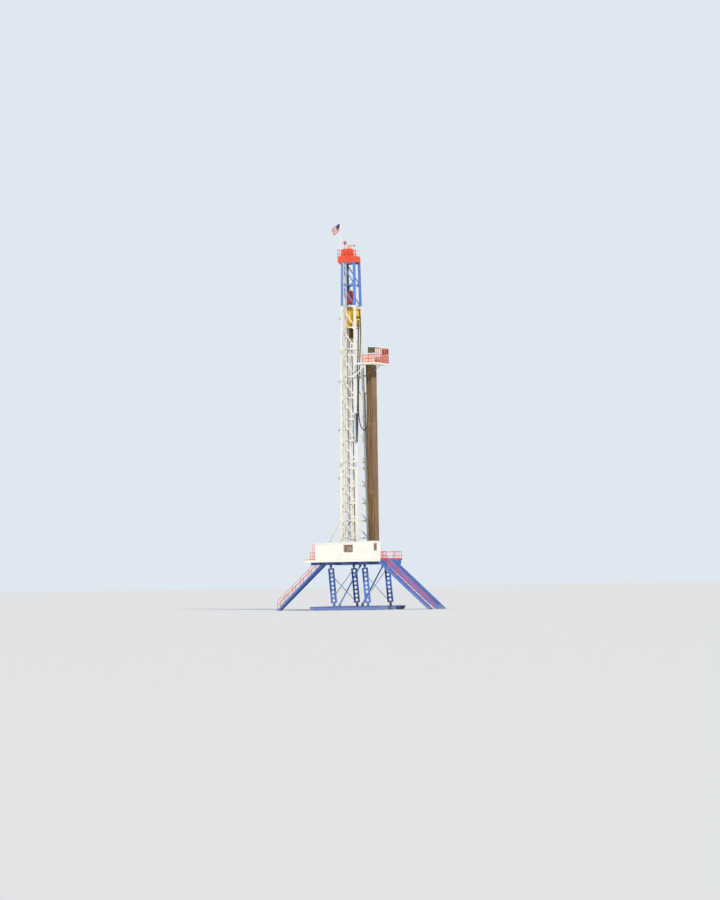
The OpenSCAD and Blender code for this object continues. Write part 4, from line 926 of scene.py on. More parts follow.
def makeHousingTrim():
    # ribs down the sheet housing, a bolted flange round its foot and lifting eyes on its roof
    s, nuts = Shape(), Shape()
    z0, z1, half = crown["top"] + 0.001, crown["roof"] + 0.001, crown["half"]
    (foot0, foot1), (head0, head1) = crown["foot"], crown["head"]
    w, thick = crown["flange"]
    t = np.linspace(0, 1, crown["ribs"])
    inset = 0.012 * (1 - 2 * t)
    for sy in both:
        p = joined(foot0 + (foot1 - foot0) * t + inset, sy * (half + 0.006), z0)
        q = joined(head0 + (head1 - head0) * t + inset, sy * (half + 0.006), z1 + 0.004)
        s.bars(p, q, oblong(*crown["rib"]), (0, 1, 0))
        s.boxes((foot0 - w, sy * half - w, z0), (foot1 + w, sy * half + w, z0 + thick))
        x = np.linspace(foot0, foot1, crown["flangeBolts"])
        nuts.bolts(joined(x, sy * (half + 0.017), z0 + thick), (0, 0, 1), crown["bolt"])
    for foot, head, sx in ((foot0, head0, -1), (foot1, head1, 1)):
        s.boxes((foot - w, -half, z0), (foot + w, half, z0 + thick))
        y = np.array([-0.15, 0.0, 0.15])
        p, q = joined(foot + sx * 0.006, y, z0), joined(head + sx * 0.006, y, z1)
        s.bars(p, q, oblong(*crown["rib"]), (sx, 0, 0))
    lift, radius, wire = crown["eye"]
    for x in crown["eyes"]:
        s.bars([(x, 0, z1 - 0.002)], [(x, 0, z1 + 0.05)], oblong(0.05, 0.014, 0.004), (0, 1, 0))
        s.hoop((x, 0, z1 + lift), (radius, 0, 0), (0, 0, radius), wire, 16)
    nuts.made("housingBolts", "steel", rig, finishSlot="bare_steel")
    s.made("housingRibs", "crown", rig, 0.002, finishSlot="orange_paint")


# ends: the grating before and behind the housing; bars: how many across and along
edge = {
    "x": (-0.81, 0.53), "y": 0.49, "high": 0.1, "half": 0.003, "out": (-0.83, 0.55), "outY": 0.515,
    "inY": 0.31, "ends": ((-0.83, -0.73), (0.38, 0.55)), "bars": (47, 22), "barHigh": 0.006,
    "lug": np.array([(0, -0.22), (0.03, -0.22), (0.2, -0.03), (0.2, 0), (0, 0)]),
    "lugAt": (-0.55, 0.43, 25.19), "lugThick": 0.012,
}


def makeCrownEdge():
    # toe boards inside the posts, lugs under the rear overhang and tread bars over the platform
    s, grate = Shape(), Shape()
    (x0, x1), y0, z, h, t = edge["x"], edge["y"], crown["top"], edge["high"], edge["half"]
    for side in both:
        s.boxes((x0, side * y0 - t, z), (x1, side * y0 + t, z + h))
    for x in edge["x"]:
        s.boxes((x - t, -y0, z), (x + t, y0, z + h))
    across, along = edge["bars"]
    bars = np.linspace(*edge["out"], across)
    for side in both:
        grate.boxes(joined(bars - t, side * edge["outY"], z),
                    joined(bars + t, side * edge["inY"], z + edge["barHigh"]))
    y = np.linspace(-edge["inY"], edge["inY"], along)
    for a, b in edge["ends"]:
        grate.boxes(joined(a, y - t, z), joined(b, y + t, z + edge["barHigh"]))
    lugX, lugY, lugZ = edge["lugAt"]
    thick = edge["lugThick"]
    s.plates(edge["lug"], [(lugX, side * lugY - thick / 2, lugZ) for side in both],
             ((-1, 0, 0), (0, 0, 1), (0, thick, 0)))
    grate.made("crownGrating", "steel", rig, finishSlot="bare_steel")
    s.made("crownToeBoards", "crown", rig, finishSlot="orange_paint")


beacon = {
    "at": (-0.33, -0.2), "ring": 0.135, "wire": 0.009, "middle": 0.46, "turns": (0, 60, 120),
    "post": [[0.05, 0], [0.05, 0.012], [0.018, 0.016], [0.018, 0.30], [0.05, 0.31], [0.06, 0.33],
             [0.06, 0.36], [0.045, 0.37]],
    "lens": [[0.05, 0.36], [0.062, 0.38], [0.064, 0.45], [0.056, 0.50], [0.03, 0.535], [0.002, 0.545]],
}


def makeBeacon():
    # obstruction light: post, base, red lens with a hooped guard
    x, y = beacon["at"]
    z = crown["roof"]
    middle = (x, y, z + beacon["middle"])
    s = Shape().turned(beacon["post"], (x, y, z - 0.001), (0, 0, 1), 16)
    r = beacon["ring"]
    for turn in np.radians(beacon["turns"]):
        s.hoop(middle, (r * np.cos(turn), r * np.sin(turn), 0), (0, 0, r), beacon["wire"])
    s.hoop(middle, (r, 0, 0), (0, r, 0), beacon["wire"])
    lens = Shape().turned(beacon["lens"], (x, y, z), (0, 0, 1), 20)
    lens.made("beaconLens", "redLens", rig, smooth=True, finishSlot="red_paint")
    s.made("beaconGuard", "beaconRed", rig, smooth=True, finishSlot="red_paint")


def redLens():
    f = Finish("redLens")
    rib = (f.axes()[2] * 400.0).apply("SINE")
    return f.set(Base_Color=f.mix(f.noise(20.0), srgb(214, 26, 34), srgb(150, 16, 24)), Roughness=0.15,
                 Coat_Weight=1.0, Normal=f.bump(rib, 0.4, 0.003))


# hook: drop, radius of its bend and wire
davit = {
    "end": (0.215, 0.34, 26.455), "cheek": 0.026, "line": 0.004, "drop": 0.42,
    "hook": (0.5, 0.028, 0.007), "bend": (-0.3, 1.35 * np.pi),
    "sheave": [[0.012, -0.02], [0.05, -0.02], [0.05, -0.012], [0.036, -0.005], [0.036, 0.005], [0.05, 0.012],
               [0.05, 0.02], [0.012, 0.02]],
    "weight": [[0.01, 0], [0.022, 0.01], [0.022, 0.05], [0.01, 0.06]],
}


def makeDavitHook():
    # small sheave at the end of the davit with its line, weight and hook
    x, y, z = davit["end"]
    lineX = x + 0.006
    s = Shape().turned(davit["sheave"], (x - 0.03, y, z - 0.05), (0, 1, 0), 20)
    for side in both:
        at = y + side * davit["cheek"]
        s.boxes((x - 0.055, at - 0.004, z - 0.07), (x - 0.005, at + 0.004, z + 0.005))
    s.bars([(lineX, y, z - 0.05)], [(lineX, y, z - davit["drop"])], ngon(6, davit["line"]))
    s.turned(davit["weight"], (lineX, y, z - davit["drop"] - 0.05), (0, 0, 1), 12)
    drop, radius, wire = davit["hook"]
    s.hoop((lineX, y, z - drop), (-radius, 0, 0), (0, 0, radius), wire, 17, span=davit["bend"])
    s.made("davitHook", "steel", rig, finishSlot="bare_steel")


looks["redLens"] = redLens()
looks["beaconRed"] = paint("beaconRedPaint", (214, 58, 74), 0.2, 0.2)
makeHousingTrim()
makeCrownEdge()
makeBeacon()
makeDavitHook()
print("crown fitted out")

# Racking board
board = {"z": 17.75, "half": 1.18}
panelFrame = {"x": (1.35, 2.375), "high": 0.56, "strip": 0.045, "thick": 0.014, "face": 0.010, "step": 0.002}


def makePanelFrames():
    # raised frames, two by two, on both faces of the side panels; the lengthwise strips lie a step lower
    s = Shape()
    (x0, x1), z0, high = panelFrame["x"], board["z"], panelFrame["high"]
    w, thick, step = panelFrame["strip"], panelFrame["thick"], panelFrame["step"]
    for sy in both:
        for out in both:
            y = sy * board["half"] + out * panelFrame["face"]
            x = np.array([x0, (x0 + x1 - w) / 2, x1 - w])[:2 if out == sy else 3]
            s.boxes(joined(x, y, z0), joined(x + w, y + out * thick, z0 + high))
            z = np.array([z0 + step, z0 + (high - w) / 2, z0 + high - w])
            s.boxes(joined(x0 + w, y, z), joined(x1 - w, y + out * (thick - step), z + w))
    s.made("panelFrames", "panelEdge", rig, 0.002, finishSlot="salmon_paint")


# walk: from, to and half width; bar and rail: width and height
grating = {
    "walk": (0.80, 1.97, 0.148), "pitch": 0.028, "bar": (0.005, 0.008), "rail": (0.006, 0.010),
    "platform": (1.95, 2.355), "platformY": (-1.12, 1.12), "platformPitch": 0.03,
}


def makeBoardFloor():
    # grating on the centre walk and the front platform
    s = Shape()
    x0, x1, half = grating["walk"]
    z = board["z"]
    w, high = grating["bar"]
    x = np.arange(x0, x1, grating["pitch"])
    s.boxes(joined(x, -half, z), joined(x + w, half, z + high))
    w2, high2 = grating["rail"]
    y = np.array([-half, -w2 / 2, half - w2])
    s.boxes(joined(x0, y, z), joined(x1, y + w2, z + high2))
    y = np.arange(*grating["platformY"], grating["platformPitch"])
    s.boxes(joined(grating["platform"][0], y, z), joined(grating["platform"][1], y + w, z + high))
    s.made("boardGrating", "steel", rig, finishSlot="bare_steel")


# size and high: half length and height of the pivot block in each row
latch = {
    "first": 0.9525, "pitch": 0.095, "count": 10, "rows": (0.23, 0.58), "size": (0.022, 0.020),
    "high": (0.018, 0.016), "arm": 0.075, "bolt": 0.007,
}


def makeLatches():
    # pivot block, arm and bolt of the latches at the tip and half way along every finger
    s = Shape()
    x = latch["first"] + latch["pitch"] * np.arange(latch["count"])
    z = board["z"]
    for sy in both:
        for row, size, high in zip(latch["rows"], latch["size"], latch["high"]):
            y = sy * row
            s.boxes(joined(x - 0.01, y - size, z), joined(x + 0.01, y + size, z + high))
            s.bars(joined(x, y, z + 0.01), joined(x + latch["arm"], y, z + 0.012), oblong(0.02, 0.008, 0.002))
            s.bolts(joined(x, y, z + high - 0.001), (0, 0, 1), latch["bolt"])
    s.made("fingerLatches", "yellow", rig, finishSlot="yellow_paint")


canopy = {
    "x": (1.955, 2.395), "y": (-1.2, 0.29), "z": 18.8782, "pitch": 0.08, "fold": 0.008, "skirt": 0.05,
    "lip": 0.006, "rib": np.array([(-0.02, 0), (0.02, 0), (0.01, 0.012), (-0.01, 0.012)]),
}


def makeCanopy():
    # rolled ribs along the small roof and a folded edge round it
    (x0, x1), (y0, y1), z = canopy["x"], canopy["y"], canopy["z"]
    fold, low, top = canopy["fold"], z - canopy["skirt"], z + canopy["lip"]
    y = np.arange(y0 + 0.06, y1 - 0.04, canopy["pitch"])
    s = Shape().bars(joined(x0 + 0.01, y, z + 0.001), joined(x1 - 0.01, y, z + 0.001), canopy["rib"])
    s.boxes([(x0 - fold, y0 - fold, low), (x1, y0 - fold, low), (x0, y0 - fold, low), (x0, y1, low)],
            [(x0, y1 + fold, top), (x1 + fold, y1 + fold, top), (x1, y0, top), (x1, y1 + fold, top)])
    s.made("canopyRibs", "white", rig, finishSlot="white_paint")


armBolts = {
    "levels": (17.71, 16.934), "face": 0.112, "across": (-0.03, 0.03), "up": (-0.025, 0.025), "bolt": 0.008,
}


def makeArmBolts():
    # four bolts where each arm of the board meets a front leg
    s = Shape()
    across, up = np.meshgrid(armBolts["across"], armBolts["up"])
    for level in armBolts["levels"]:
        x, y = legAt(level)
        for sy in both:
            s.bolts(joined(x + armBolts["face"], sy * y + across, level + up), (1, 0, 0), armBolts["bolt"])
    s.made("armBolts", "steel", rig, finishSlot="bare_steel")


makePanelFrames()
makeBoardFloor()
makeLatches()
makeCanopy()
print("board fitted out")

# Hoisting gear
# motor: x, y and radius; box and hatch: x from and to, z from and to; boxY and hatchY: inside, lid and outside;
# raisedFrom: where the hatch's raised middle starts on each side; eye: x, y and z; eyeRing: radius and wire
drive = {
    "motor": (0.37, 0.19, 0.17), "motorZ": (20.61, 21.65), "finStep": 0.055,
    "fin": np.array([[-0.01, 0], [0.012, 0.004], [0.012, 0.016], [-0.01, 0.02]]),
    "box": (0.31, 0.43, 21.04, 21.28), "boxY": (0.345, 0.40, 0.41),
    "hatch": (-0.17, 0.08, 20.95, 21.45), "hatchY": (0.30, 0.312, 0.324), "raisedFrom": (0.30, 0.312),
    "base": (-0.28, 0.48), "baseY": (0.35, 0.372), "baseZ": (20.49, 20.82),
    "eye": (-0.05, 0.2, 21.70), "eyeRing": (0.035, 0.009), "collarZ": 21.74,
    "collar": [[0.15, 0], [0.172, 0.004], [0.172, 0.02], [0.15, 0.024]],
}

# hoses on each side of the drive, in millimetres: three to the terminal box and a low one to the handler
driveHose = {
    "count": 3, "radius": 0.012,
    "route": np.array([(560, -130, 21045), (575, -130, 21150), (570, 0, 21200), (500, 0, 21130),
                       (430, 0, 21110)]),
    "spread": np.array([(25, 0, 0), (20, 0, 20), (0, 0, -40), (0, 0, -45), (0, 0, -20)]),
    "across": np.array([30, 60, 250, 375, 385]),
    "lowRadius": 0.014,
    "low": ((180, 370, 20810), (180, 410, 20700), (150, 400, 20400), (120, 300, 20240), (60, 150, 20180)),
}


def boltsRound(s, x0, x1, z0, z1, y, out, count, size):
    # a row of bolts along each edge of an upright panel facing out along y
    x, z = np.linspace(x0, x1, count), np.linspace(z0, z1, count)
    rows = joined(x, y, z0), joined(x, y, z1), joined(x0, y, z[1:-1]), joined(x1, y, z[1:-1])
    s.bolts(np.concatenate(rows), (0, out, 0), size)


def makeMotors():
    # cast rings and a fan cowl on each drive motor, terminal boxes on the outer sides
    s, dark, nuts = Shape(), Shape(), Shape()
    x, y, r = drive["motor"]
    low, high = drive["motorZ"]
    centre = joined(x, y * np.array(both), 0.0)
    fin = drive["fin"] + (r, 0)    # its radii are measured from the motor's wall
    for z in np.arange(low + 0.14, high - 0.1, drive["finStep"]):
        s.turned(fin, centre + (0, 0, z), (0, 0, 1), 32)
    cowl = [[r - 0.01, 0], [r, 0.008], [r, 0.045], [r - 0.02, 0.06], [0.06, 0.062], [0.05, 0.05],
            [0.01, 0.05]]
    dark.turned(cowl, centre + (0, 0, high), (0, 0, 1), 32)
    out = around(12)
    for c in centre:
        spokes = c + (0, 0, high + 0.064) + 0.1 * out
        s.bars(spokes, spokes + 0.045 * out, oblong(0.008, 0.006))
        for z in (low + 0.03, high - 0.03):
            nuts.bolts(c + (0, 0, z) + (r + 0.002) * out, out, 0.008)
    x0, x1, z0, z1 = drive["box"]
    near, lid, face = drive["boxY"]
    for sy in both:
        dark.boxes((x0, sy * near, z0), (x1, sy * lid, z1))
        dark.boxes((x0 - 0.008, sy * lid, z0 - 0.01), (x1 + 0.008, sy * face, z1 + 0.01))
        boltsRound(nuts, x0 + 0.008, x1 - 0.008, z0 + 0.01, z1 - 0.01, sy * face, sy, 3, 0.006)
    dark.made("motorCowls", "black", hoist, 0.002, finishSlot="yellow_paint")
    nuts.made("motorBolts", "steel", hoist, finishSlot="bare_steel")
    s.made("motorRings", "yellow", hoist, finishSlot="yellow_paint")


def makeDriveTrim():
    # bolted hatches and stiffening ribs on the gear case, lifting eyes, small hoses
    s, nuts, hoses = Shape(), Shape(), Shape()
    x0, x1, z0, z1 = drive["hatch"]
    wall, plate, raised = drive["hatchY"]
    (baseX0, baseX1), (base0, base1), (baseZ0, baseZ1) = drive["base"], drive["baseY"], drive["baseZ"]
    ribs = np.linspace(baseX0 + 0.02, baseX1 - 0.035, 7)
    for sy, inner in zip(both, drive["raisedFrom"]):
        s.boxes((x0, sy * wall, z0), (x1, sy * plate, z1))
        s.boxes((x0 + 0.05, sy * inner, z0 + 0.05), (x1 - 0.05, sy * raised, z1 - 0.05))
        boltsRound(nuts, x0 + 0.02, x1 - 0.02, z0 + 0.02, z1 - 0.02, sy * plate, sy, 5, 0.008)
        near, far = sy * base0, sy * base1
        s.boxes(joined(ribs, near, baseZ0 + 0.01), joined(ribs + 0.014, far, baseZ1 - 0.01))
        s.boxes((baseX0, near, baseZ1 - 0.012), (baseX1, far, baseZ1))
        s.boxes((baseX0, near, baseZ0), (baseX1, far, baseZ0 + 0.012))
        nuts.bolts(joined(ribs[:-1] + 0.045, sy * (base0 - 0.02), baseZ1), (0, 0, 1), 0.009)
        across = sy * driveHose["across"][:, None] * (0, 1, 0)
        for i in range(driveHose["count"]):
            path = route(driveHose["route"] + i * driveHose["spread"] + across, 8)
            hoses.tube(path, driveHose["radius"], 8)
        hoses.tube(route(driveHose["low"] * np.array((1, sy, 1)), 8), driveHose["lowRadius"], 8)
        eyeX, eyeY, eyeZ = drive["eye"]
        r, wire = drive["eyeRing"]
        s.hoop((eyeX, sy * eyeY, eyeZ), (r, 0, 0), (0, 0, r), wire, 14)
    nuts.turned(drive["collar"], (0, 0, drive["collarZ"]), (0, 0, 1), 32)
    hoses.made("driveHoses", "cable", hoist, smooth=True, finishSlot="rubber")
    nuts.made("caseBolts", "steel", hoist, finishSlot="bare_steel")
    s.made("caseTrim", "yellow", hoist, 0.002, finishSlot="yellow_paint")


# foot: x and z of a bolt; keepers: half length and foot; keeper: thickness and height;
# strap: half length, distance off the face and z
block = {
    "face": 0.148, "pinZ": 22.76, "edgeX": 0.215, "edgeZ": (22.43, 22.9), "edgeBolts": 5,
    "foot": (0.09, 22.2), "nut": [[0.075, 0], [0.075, 0.018], [0.05, 0.02], [0.05, 0.05], [0.044, 0.056]],
    "keepers": ((0.16, 22.62), (0.21, 22.30)), "keeper": (0.012, 0.025), "strap": (0.19, 0.006, 22.90),
}


def makeBlockFit():
    # pin nuts, keeper plates and edge bolts on the cheeks of the travelling block
    s, nuts = Shape(), Shape()
    z = np.linspace(*block["edgeZ"], block["edgeBolts"])
    thick, high = block["keeper"]
    footX, footZ = block["foot"]
    half, off, strapZ = block["strap"]
    for sy in both:
        face = sy * block["face"]
        nuts.turned(block["nut"], (0, face, block["pinZ"]), (0, sy, 0), 24)
        for sx in both:
            nuts.bolts(joined(sx * block["edgeX"], face, z), (0, sy, 0), 0.012)
            nuts.bolts([(sx * footX, face, footZ)], (0, sy, 0), 0.014)
        for x, low in block["keepers"]:
            s.boxes((-x, face, low), (x, face + sy * thick, low + high))
        at = face + sy * off
        s.bars([(-half, at, strapZ)], [(half, at, strapZ)], oblong(0.012, 0.03), (0, 0, 1))
    nuts.made("blockBolts", "steel", hoist, finishSlot="bare_steel")
    s.made("blockTrim", "red", hoist, 0.002, finishSlot="red_paint")


# collar: radius and z; plate: half width, foot and head
handler = {
    "collar": (0.212, 20.40), "collarBolts": 16, "grabX": 0.185, "grabZ": 19.80, "rodZ": 20.10,
    "grab": [[0.024, 0], [0.034, 0.004], [0.034, 0.30], [0.026, 0.306], [0.014, 0.31]],
    "clampX": (0.15, 0.19), "clampHalf": 0.03, "clamps": ((19.78, 19.81), (20.25, 20.28)),
    "plate": (0.11, 19.72, 20.24), "plateY": (0.13, 0.142),
    "hinge": (-0.14, 0, 19.348), "hingePin": [[0.016, -0.02], [0.022, -0.016], [0.022, 0.19], [0.016, 0.195]],
    "latchX": (0.128, 0.165), "latchY": 0.05, "latchZ": 19.43, "barX": 0.155, "barHalf": 0.075,
}


def makeHandlerFit():
    # grab cylinders beside the pipe handler, its collar bolts, and the elevator's hinge and latch
    s, rods, nuts = Shape(), Shape(), Shape()
    radius, z = handler["collar"]
    out = around(handler["collarBolts"])
    nuts.bolts((0, 0, z) + radius * out, out, 0.010)
    near, far = handler["clampX"]
    w = handler["clampHalf"]
    for sx in both:
        x = sx * handler["grabX"]
        s.turned(handler["grab"], (x, 0, handler["grabZ"]), (0, 0, 1), 16)
        rods.turned([[0.013, 0], [0.013, 0.16]], (x, 0, handler["rodZ"]), (0, 0, 1), 12)
        for low, high in handler["clamps"]:
            s.boxes((sx * near, -w, low), (sx * far, w, high))
    half, low, high = handler["plate"]
    inner, face = handler["plateY"]
    for sy in both:
        s.boxes((-half, sy * inner, low), (half, sy * face, high))
        boltsRound(nuts, 0.02 - half, half - 0.02, low + 0.02, high - 0.02, sy * face, sy, 4, 0.008)
    nuts.turned(handler["hingePin"], handler["hinge"], (0, 0, 1), 12)
    y, z = handler["latchY"] * np.array(both), handler["latchZ"]
    x0, x1 = handler["latchX"]
    nuts.bars(joined(x0, y, z), joined(x1, y, z), oblong(0.02, 0.05, 0.004))
    x, half = handler["barX"], handler["barHalf"]
    nuts.bars([(x, -half, z)], [(x, half, z)], ngon(8, 0.012))
    s.made("grabCylinders", "brown", hoist, 0.002, finishSlot="brown_steel")
    rods.made("grabRods", "steel", hoist, smooth=True, finishSlot="bare_steel")
    nuts.made("handlerBolts", "steel", hoist, finishSlot="bare_steel")


makeMotors()
makeDriveTrim()
makeBlockFit()
makeHandlerFit()
print("hoisting gear fitted out")

# Drill floor
floor = {
    "z": 3.6, "y": 2.185, "rear": -2.585, "front": 2.735, "houseEnd": -1.45, "rampY": 0.58,
    "frontStair": -1.72, "rearStair": 0.55, "stairHalf": 0.245, "board": (0.001, 0.1), "boardHalf": 0.004,
}
drum = {"x": -1.38, "z": 4.08, "radius": 0.221, "rope": 0.014, "half": 0.457, "layer": 0.028}


def makeDrumRope():
    # two layers of rope on the drum: the surface between the flanges, ridged once per turn
    half, pitch = drum["half"], 2 * drum["rope"]
    y = np.linspace(-half, half, 8 * round(2 * half / pitch) + 1)
    ridge = np.abs(np.sin(np.pi * (y + half) / pitch))
    profile = np.stack([drum["radius"] + drum["layer"] + drum["rope"] * ridge, y], 1)
    s = Shape().turned(profile, (drum["x"], 0, drum["z"]), (0, 1, 0), 32)
    s.made("drumRope", "rope", rig, smooth=True, finishSlot="wire_rope")


# motor: x, z and radius; fins: from, to and pitch; capBolts: how many, radius and y; feet: from, to and
# how many bolts; hoodArc in degrees; hoodRadius: outside and inside; hoodRibs: from, to and how many
winch = {
    "motor": (-1.58, 4.0, 0.20), "fins": (0.63, 0.82, 0.03), "cowlY": 0.838, "boxY": (0.66, 0.80),
    "boxZ": (0.19, 0.27), "fin": np.array([[-0.01, -0.009], [0.012, -0.006], [0.012, 0.006], [-0.01, 0.009]]),
    "cap": [[0.11, 0], [0.11, 0.014], [0.07, 0.018], [0.07, 0.05], [0.05, 0.056]], "capY": 0.604,
    "capBolts": (8, 0.09, 0.618), "feet": (-1.9, -1.0, 8), "footY": 0.79, "footZ": 3.72,
    "hoodArc": (100, 215), "hoodRadius": (0.40, 0.392), "hoodHalf": 0.51, "hoodRibs": (-0.49, 0.48, 5),
}


def makeDrawworksFit():
    # motor rings and cowls, bearing caps, bolted feet and a hood over the drum
    s, dark, nuts = Shape(), Shape(), Shape()
    x, z, r = winch["motor"]
    middle = np.array((drum["x"], 0, drum["z"]))
    count, boltR, boltY = winch["capBolts"]
    spots = around(count)[:, [0, 2, 1]]
    near, far = winch["boxY"]
    low, high = winch["boxZ"]
    fin = winch["fin"] + (r, 0)    # its radii are measured from the motor's wall
    for sy in both:
        dark.turned(fin, joined(x, sy * np.arange(*winch["fins"]), z), (0, 1, 0), 28)
        dark.turned([[r, 0], [r, 0.03], [r - 0.03, 0.045], [0.05, 0.045], [0.04, 0.03], [0.01, 0.03]],
                    (x, sy * winch["cowlY"], z), (0, sy, 0), 28)
        dark.boxes((x - 0.08, sy * near, z + low), (x + 0.08, sy * far, z + high))
        nuts.turned(winch["cap"], middle + (0, sy * winch["capY"], 0), (0, sy, 0), 24)
        nuts.bolts(middle + (0, sy * boltY, 0) + boltR * spots, (0, sy, 0), 0.009)
        feet = joined(np.linspace(*winch["feet"]), sy * winch["footY"], winch["footZ"])
        nuts.bolts(feet, (0, 0, 1), 0.012)
    arc = np.radians(np.linspace(*winch["hoodArc"], 24))
    out = joined(np.cos(arc), 0.0, np.sin(arc))
    outer, inner = (middle + radius * out for radius in winch["hoodRadius"])
    half = winch["hoodHalf"]
    for strip in np.stack([outer[:-1], outer[1:], inner[1:], inner[:-1]], 1)[..., [0, 2]]:
        s.plates(strip, (0, -half, 0), ((1, 0, 0), (0, 0, 1), (0, 2 * half, 0)))
    for y in np.linspace(*winch["hoodRibs"]):
        s.bars(outer[:-1] + (0, y, 0), outer[1:] + (0, y, 0), oblong(0.02, 0.02), (0, 1, 0))
    dark.made("winchMotors", "black", rig, 0.002, finishSlot="blue_paint")
    nuts.made("winchBolts", "steel", rig, finishSlot="bare_steel")
    s.made("winchHood", "blue", rig, finishSlot="blue_paint")


# cover and corner: radius or distance of the bolts and z; ring: radius, z and wire;
# arcs: their starts in degrees; arc: how far each runs
table = {
    "cover": (0.325, 3.68), "coverBolts": 24, "corner": (0.385, 3.65), "lug": (0.21, 0.12),
    "lugHalf": (0.03, 0.02), "lugZ": (3.678, 3.692), "ring": (0.235, 3.683, 0.012),
    "arcs": (-72, -24, 24, 72, 108, 156, 204, 252), "arc": 36,
}


def makeTableFit():
    # split bushing with its lifting lugs and the cover bolts of the rotary table
    s, nuts = Shape(), Shape()
    radius, z = table["cover"]
    nuts.bolts((0, 0, z) + radius * around(table["coverBolts"]), (0, 0, 1), 0.009)
    corner, z = table["corner"]
    (x, y), (w, h), (z0, z1) = table["lug"], table["lugHalf"], table["lugZ"]
    for sx in both:
        for sy in both:
            nuts.bolts([(sx * corner, sy * corner, z)], (0, 0, 1), 0.014)
            s.boxes((sx * x - w, sy * y - h, z0), (sx * x + w, sy * y + h, z1))
    radius, z, wire = table["ring"]
    for start in table["arcs"]:
        span = np.radians((start, start + table["arc"]))
        s.hoop((0, 0, z), (radius, 0, 0), (0, radius, 0), wire, 7, span=span)
    nuts.made("tableBolts", "steel", rig, finishSlot="bare_steel")
    s.made("bushingRing", "steel", rig, 0.002, finishSlot="bare_steel")


def makeKickBoards():
    # upright strips round the open edges of the floor
    z0, z1 = floor["z"] + np.array(floor["board"])
    t, y, rear, front, gap = (floor[key] for key in ("boardHalf", "y", "rear", "front", "stairHalf"))
    s = Shape().boxes((rear, y - t, z0), (front, y + t, z1))
    s.boxes((rear, -y - t, z0), (floor["houseEnd"], -y + t, z1))
    behind, before, slide = floor["rearStair"], floor["frontStair"], floor["rampY"]
    edges = ((rear, -y, behind - gap), (rear, behind + gap, y), (front, -y + 0.02, before - gap),
             (front, before + gap, -slide), (front, slide, y))
    x, a, b = np.array(edges).T
    s.boxes(joined(x - t, a, z0), joined(x + t, b, z1))
    s.made("kickBoards", "handrail", rig, finishSlot="orange_paint")


# x: from, to and pitch; out: distances off the web
beam = {"y": 1.95, "x": (-2.45, 2.7, 0.29), "half": 0.006, "out": (0.018, 0.07), "z": (3.285, 3.535)}


def makeBeamStiffeners():
    # plates between the flanges of the two main floor beams, on both sides of the web
    s = Shape()
    x = np.arange(*beam["x"])
    t, (near, far), (low, high) = beam["half"], beam["out"], beam["z"]
    for sy in both:
        for side in both:
            web = sy * beam["y"]
            s.boxes(joined(x - t, web + side * near, low), joined(x + t, web + side * far, high))
    s.made("beamStiffeners", "deepBlue", rig, finishSlot="blue_paint")


# joints: height and places along the rig; keeper and bolt: half length, distance off the pin's foot and rise
pin = {
    "joints": ((0.385, (-0.8, 1.87)), (3.15, (-1.03, 1.64))), "out": 0.075,
    "head": [[0.052, 0], [0.052, 0.012], [0.036, 0.014], [0.036, 0.03], [0.03, 0.036]],
    "keeper": (0.07, 0.018, 0.045), "bolt": (0.055, 0.024, 0.045),
}
# strips: from, to and foot; pads: face of the eye pads on each side; ring: y, z, radius and wire
skid = {
    "ribs": (-2.3, 2.7, 0.34), "half": 0.006, "y": (2.079, 2.112), "z": (0.02, 0.255),
    "strips": ((-2.42, 2.74, 0.0), (-2.62, 2.94, 0.252)), "strip": 0.02, "eyes": (-2.05, 2.35),
    "padHalf": 0.09, "padZ": (0.06, 0.215), "pads": (2.112, 2.09), "ring": (2.105, 0.14, 0.045, 0.012),
}


def makePinFit():
    # pin heads with bolted keeper plates at both ends of every column, ribs and pad eyes on the base skids
    s, pins = Shape(), Shape()
    half, off, up = pin["keeper"]
    boltX, boltOff, boltUp = pin["bolt"]
    for z, places in pin["joints"]:
        for x in places:
            for sy in both:
                for side in both:
                    y = sy * beam["y"] + side * pin["out"]
                    pins.turned(pin["head"], (x, y, z), (0, side, 0), 20)
                    pins.bars([(x - half, y + side * off, z + up)], [(x + half, y + side * off, z + up)],
                              oblong(0.012, 0.03, 0.003), (0, 0, 1))
                    ends = x + boltX * np.array(both)
                    pins.bolts(joined(ends, y + side * boltOff, z + boltUp), (0, side, 0), 0.008)
    x = np.arange(*skid["ribs"])
    t, (near, far), (low, high) = skid["half"], skid["y"], skid["z"]
    ringY, ringZ, r, wire = skid["ring"]
    for sy, pad in zip(both, skid["pads"]):
        s.boxes(joined(x - t, sy * near, low), joined(x + t, sy * far, high))
        for x0, x1, z in skid["strips"]:
            s.boxes((x0, sy * near, z), (x1, sy * far, z + skid["strip"]))
        for eye in skid["eyes"]:
            w, (z0, z1) = skid["padHalf"], skid["padZ"]
            s.boxes((eye - w, sy * near, z0), (eye + w, sy * pad, z1))
            s.hoop((eye, sy * ringY, ringZ), (r, 0, 0), (0, 0, r), wire, 16)
    pins.made("columnPins", "steel", rig, finishSlot="bare_steel")
    s.made("skidRibs", "blue", rig, finishSlot="blue_paint")


stands = {
    "first": (1.0, 0.25), "pitch": 0.095, "count": (6, 8), "top": 18.15,
    "end": [[0.040, -0.02], [0.0445, -0.016], [0.0445, 0.012], [0.036, 0.018], [0.030, 0.014],
            [0.024, 0.002]],
}


def makeStandBoxes():
    # open threaded ends on top of the racked stands
    rows = [first + stands["pitch"] * np.arange(n) for first, n in zip(stands["first"], stands["count"])]
    x, y = np.meshgrid(*rows)
    s = Shape().turned(stands["end"], joined(x, y, stands["top"]), (0, 0, 1), 24)
    s.made("standBoxes", "steel", rig, finishSlot="bare_steel")


makeDrumRope()
makeDrawworksFit()
makeTableFit()
makeKickBoards()
makeBeamStiffeners()
makePinFit()
makeStandBoxes()
makeArmBolts()
print("floor fitted out")

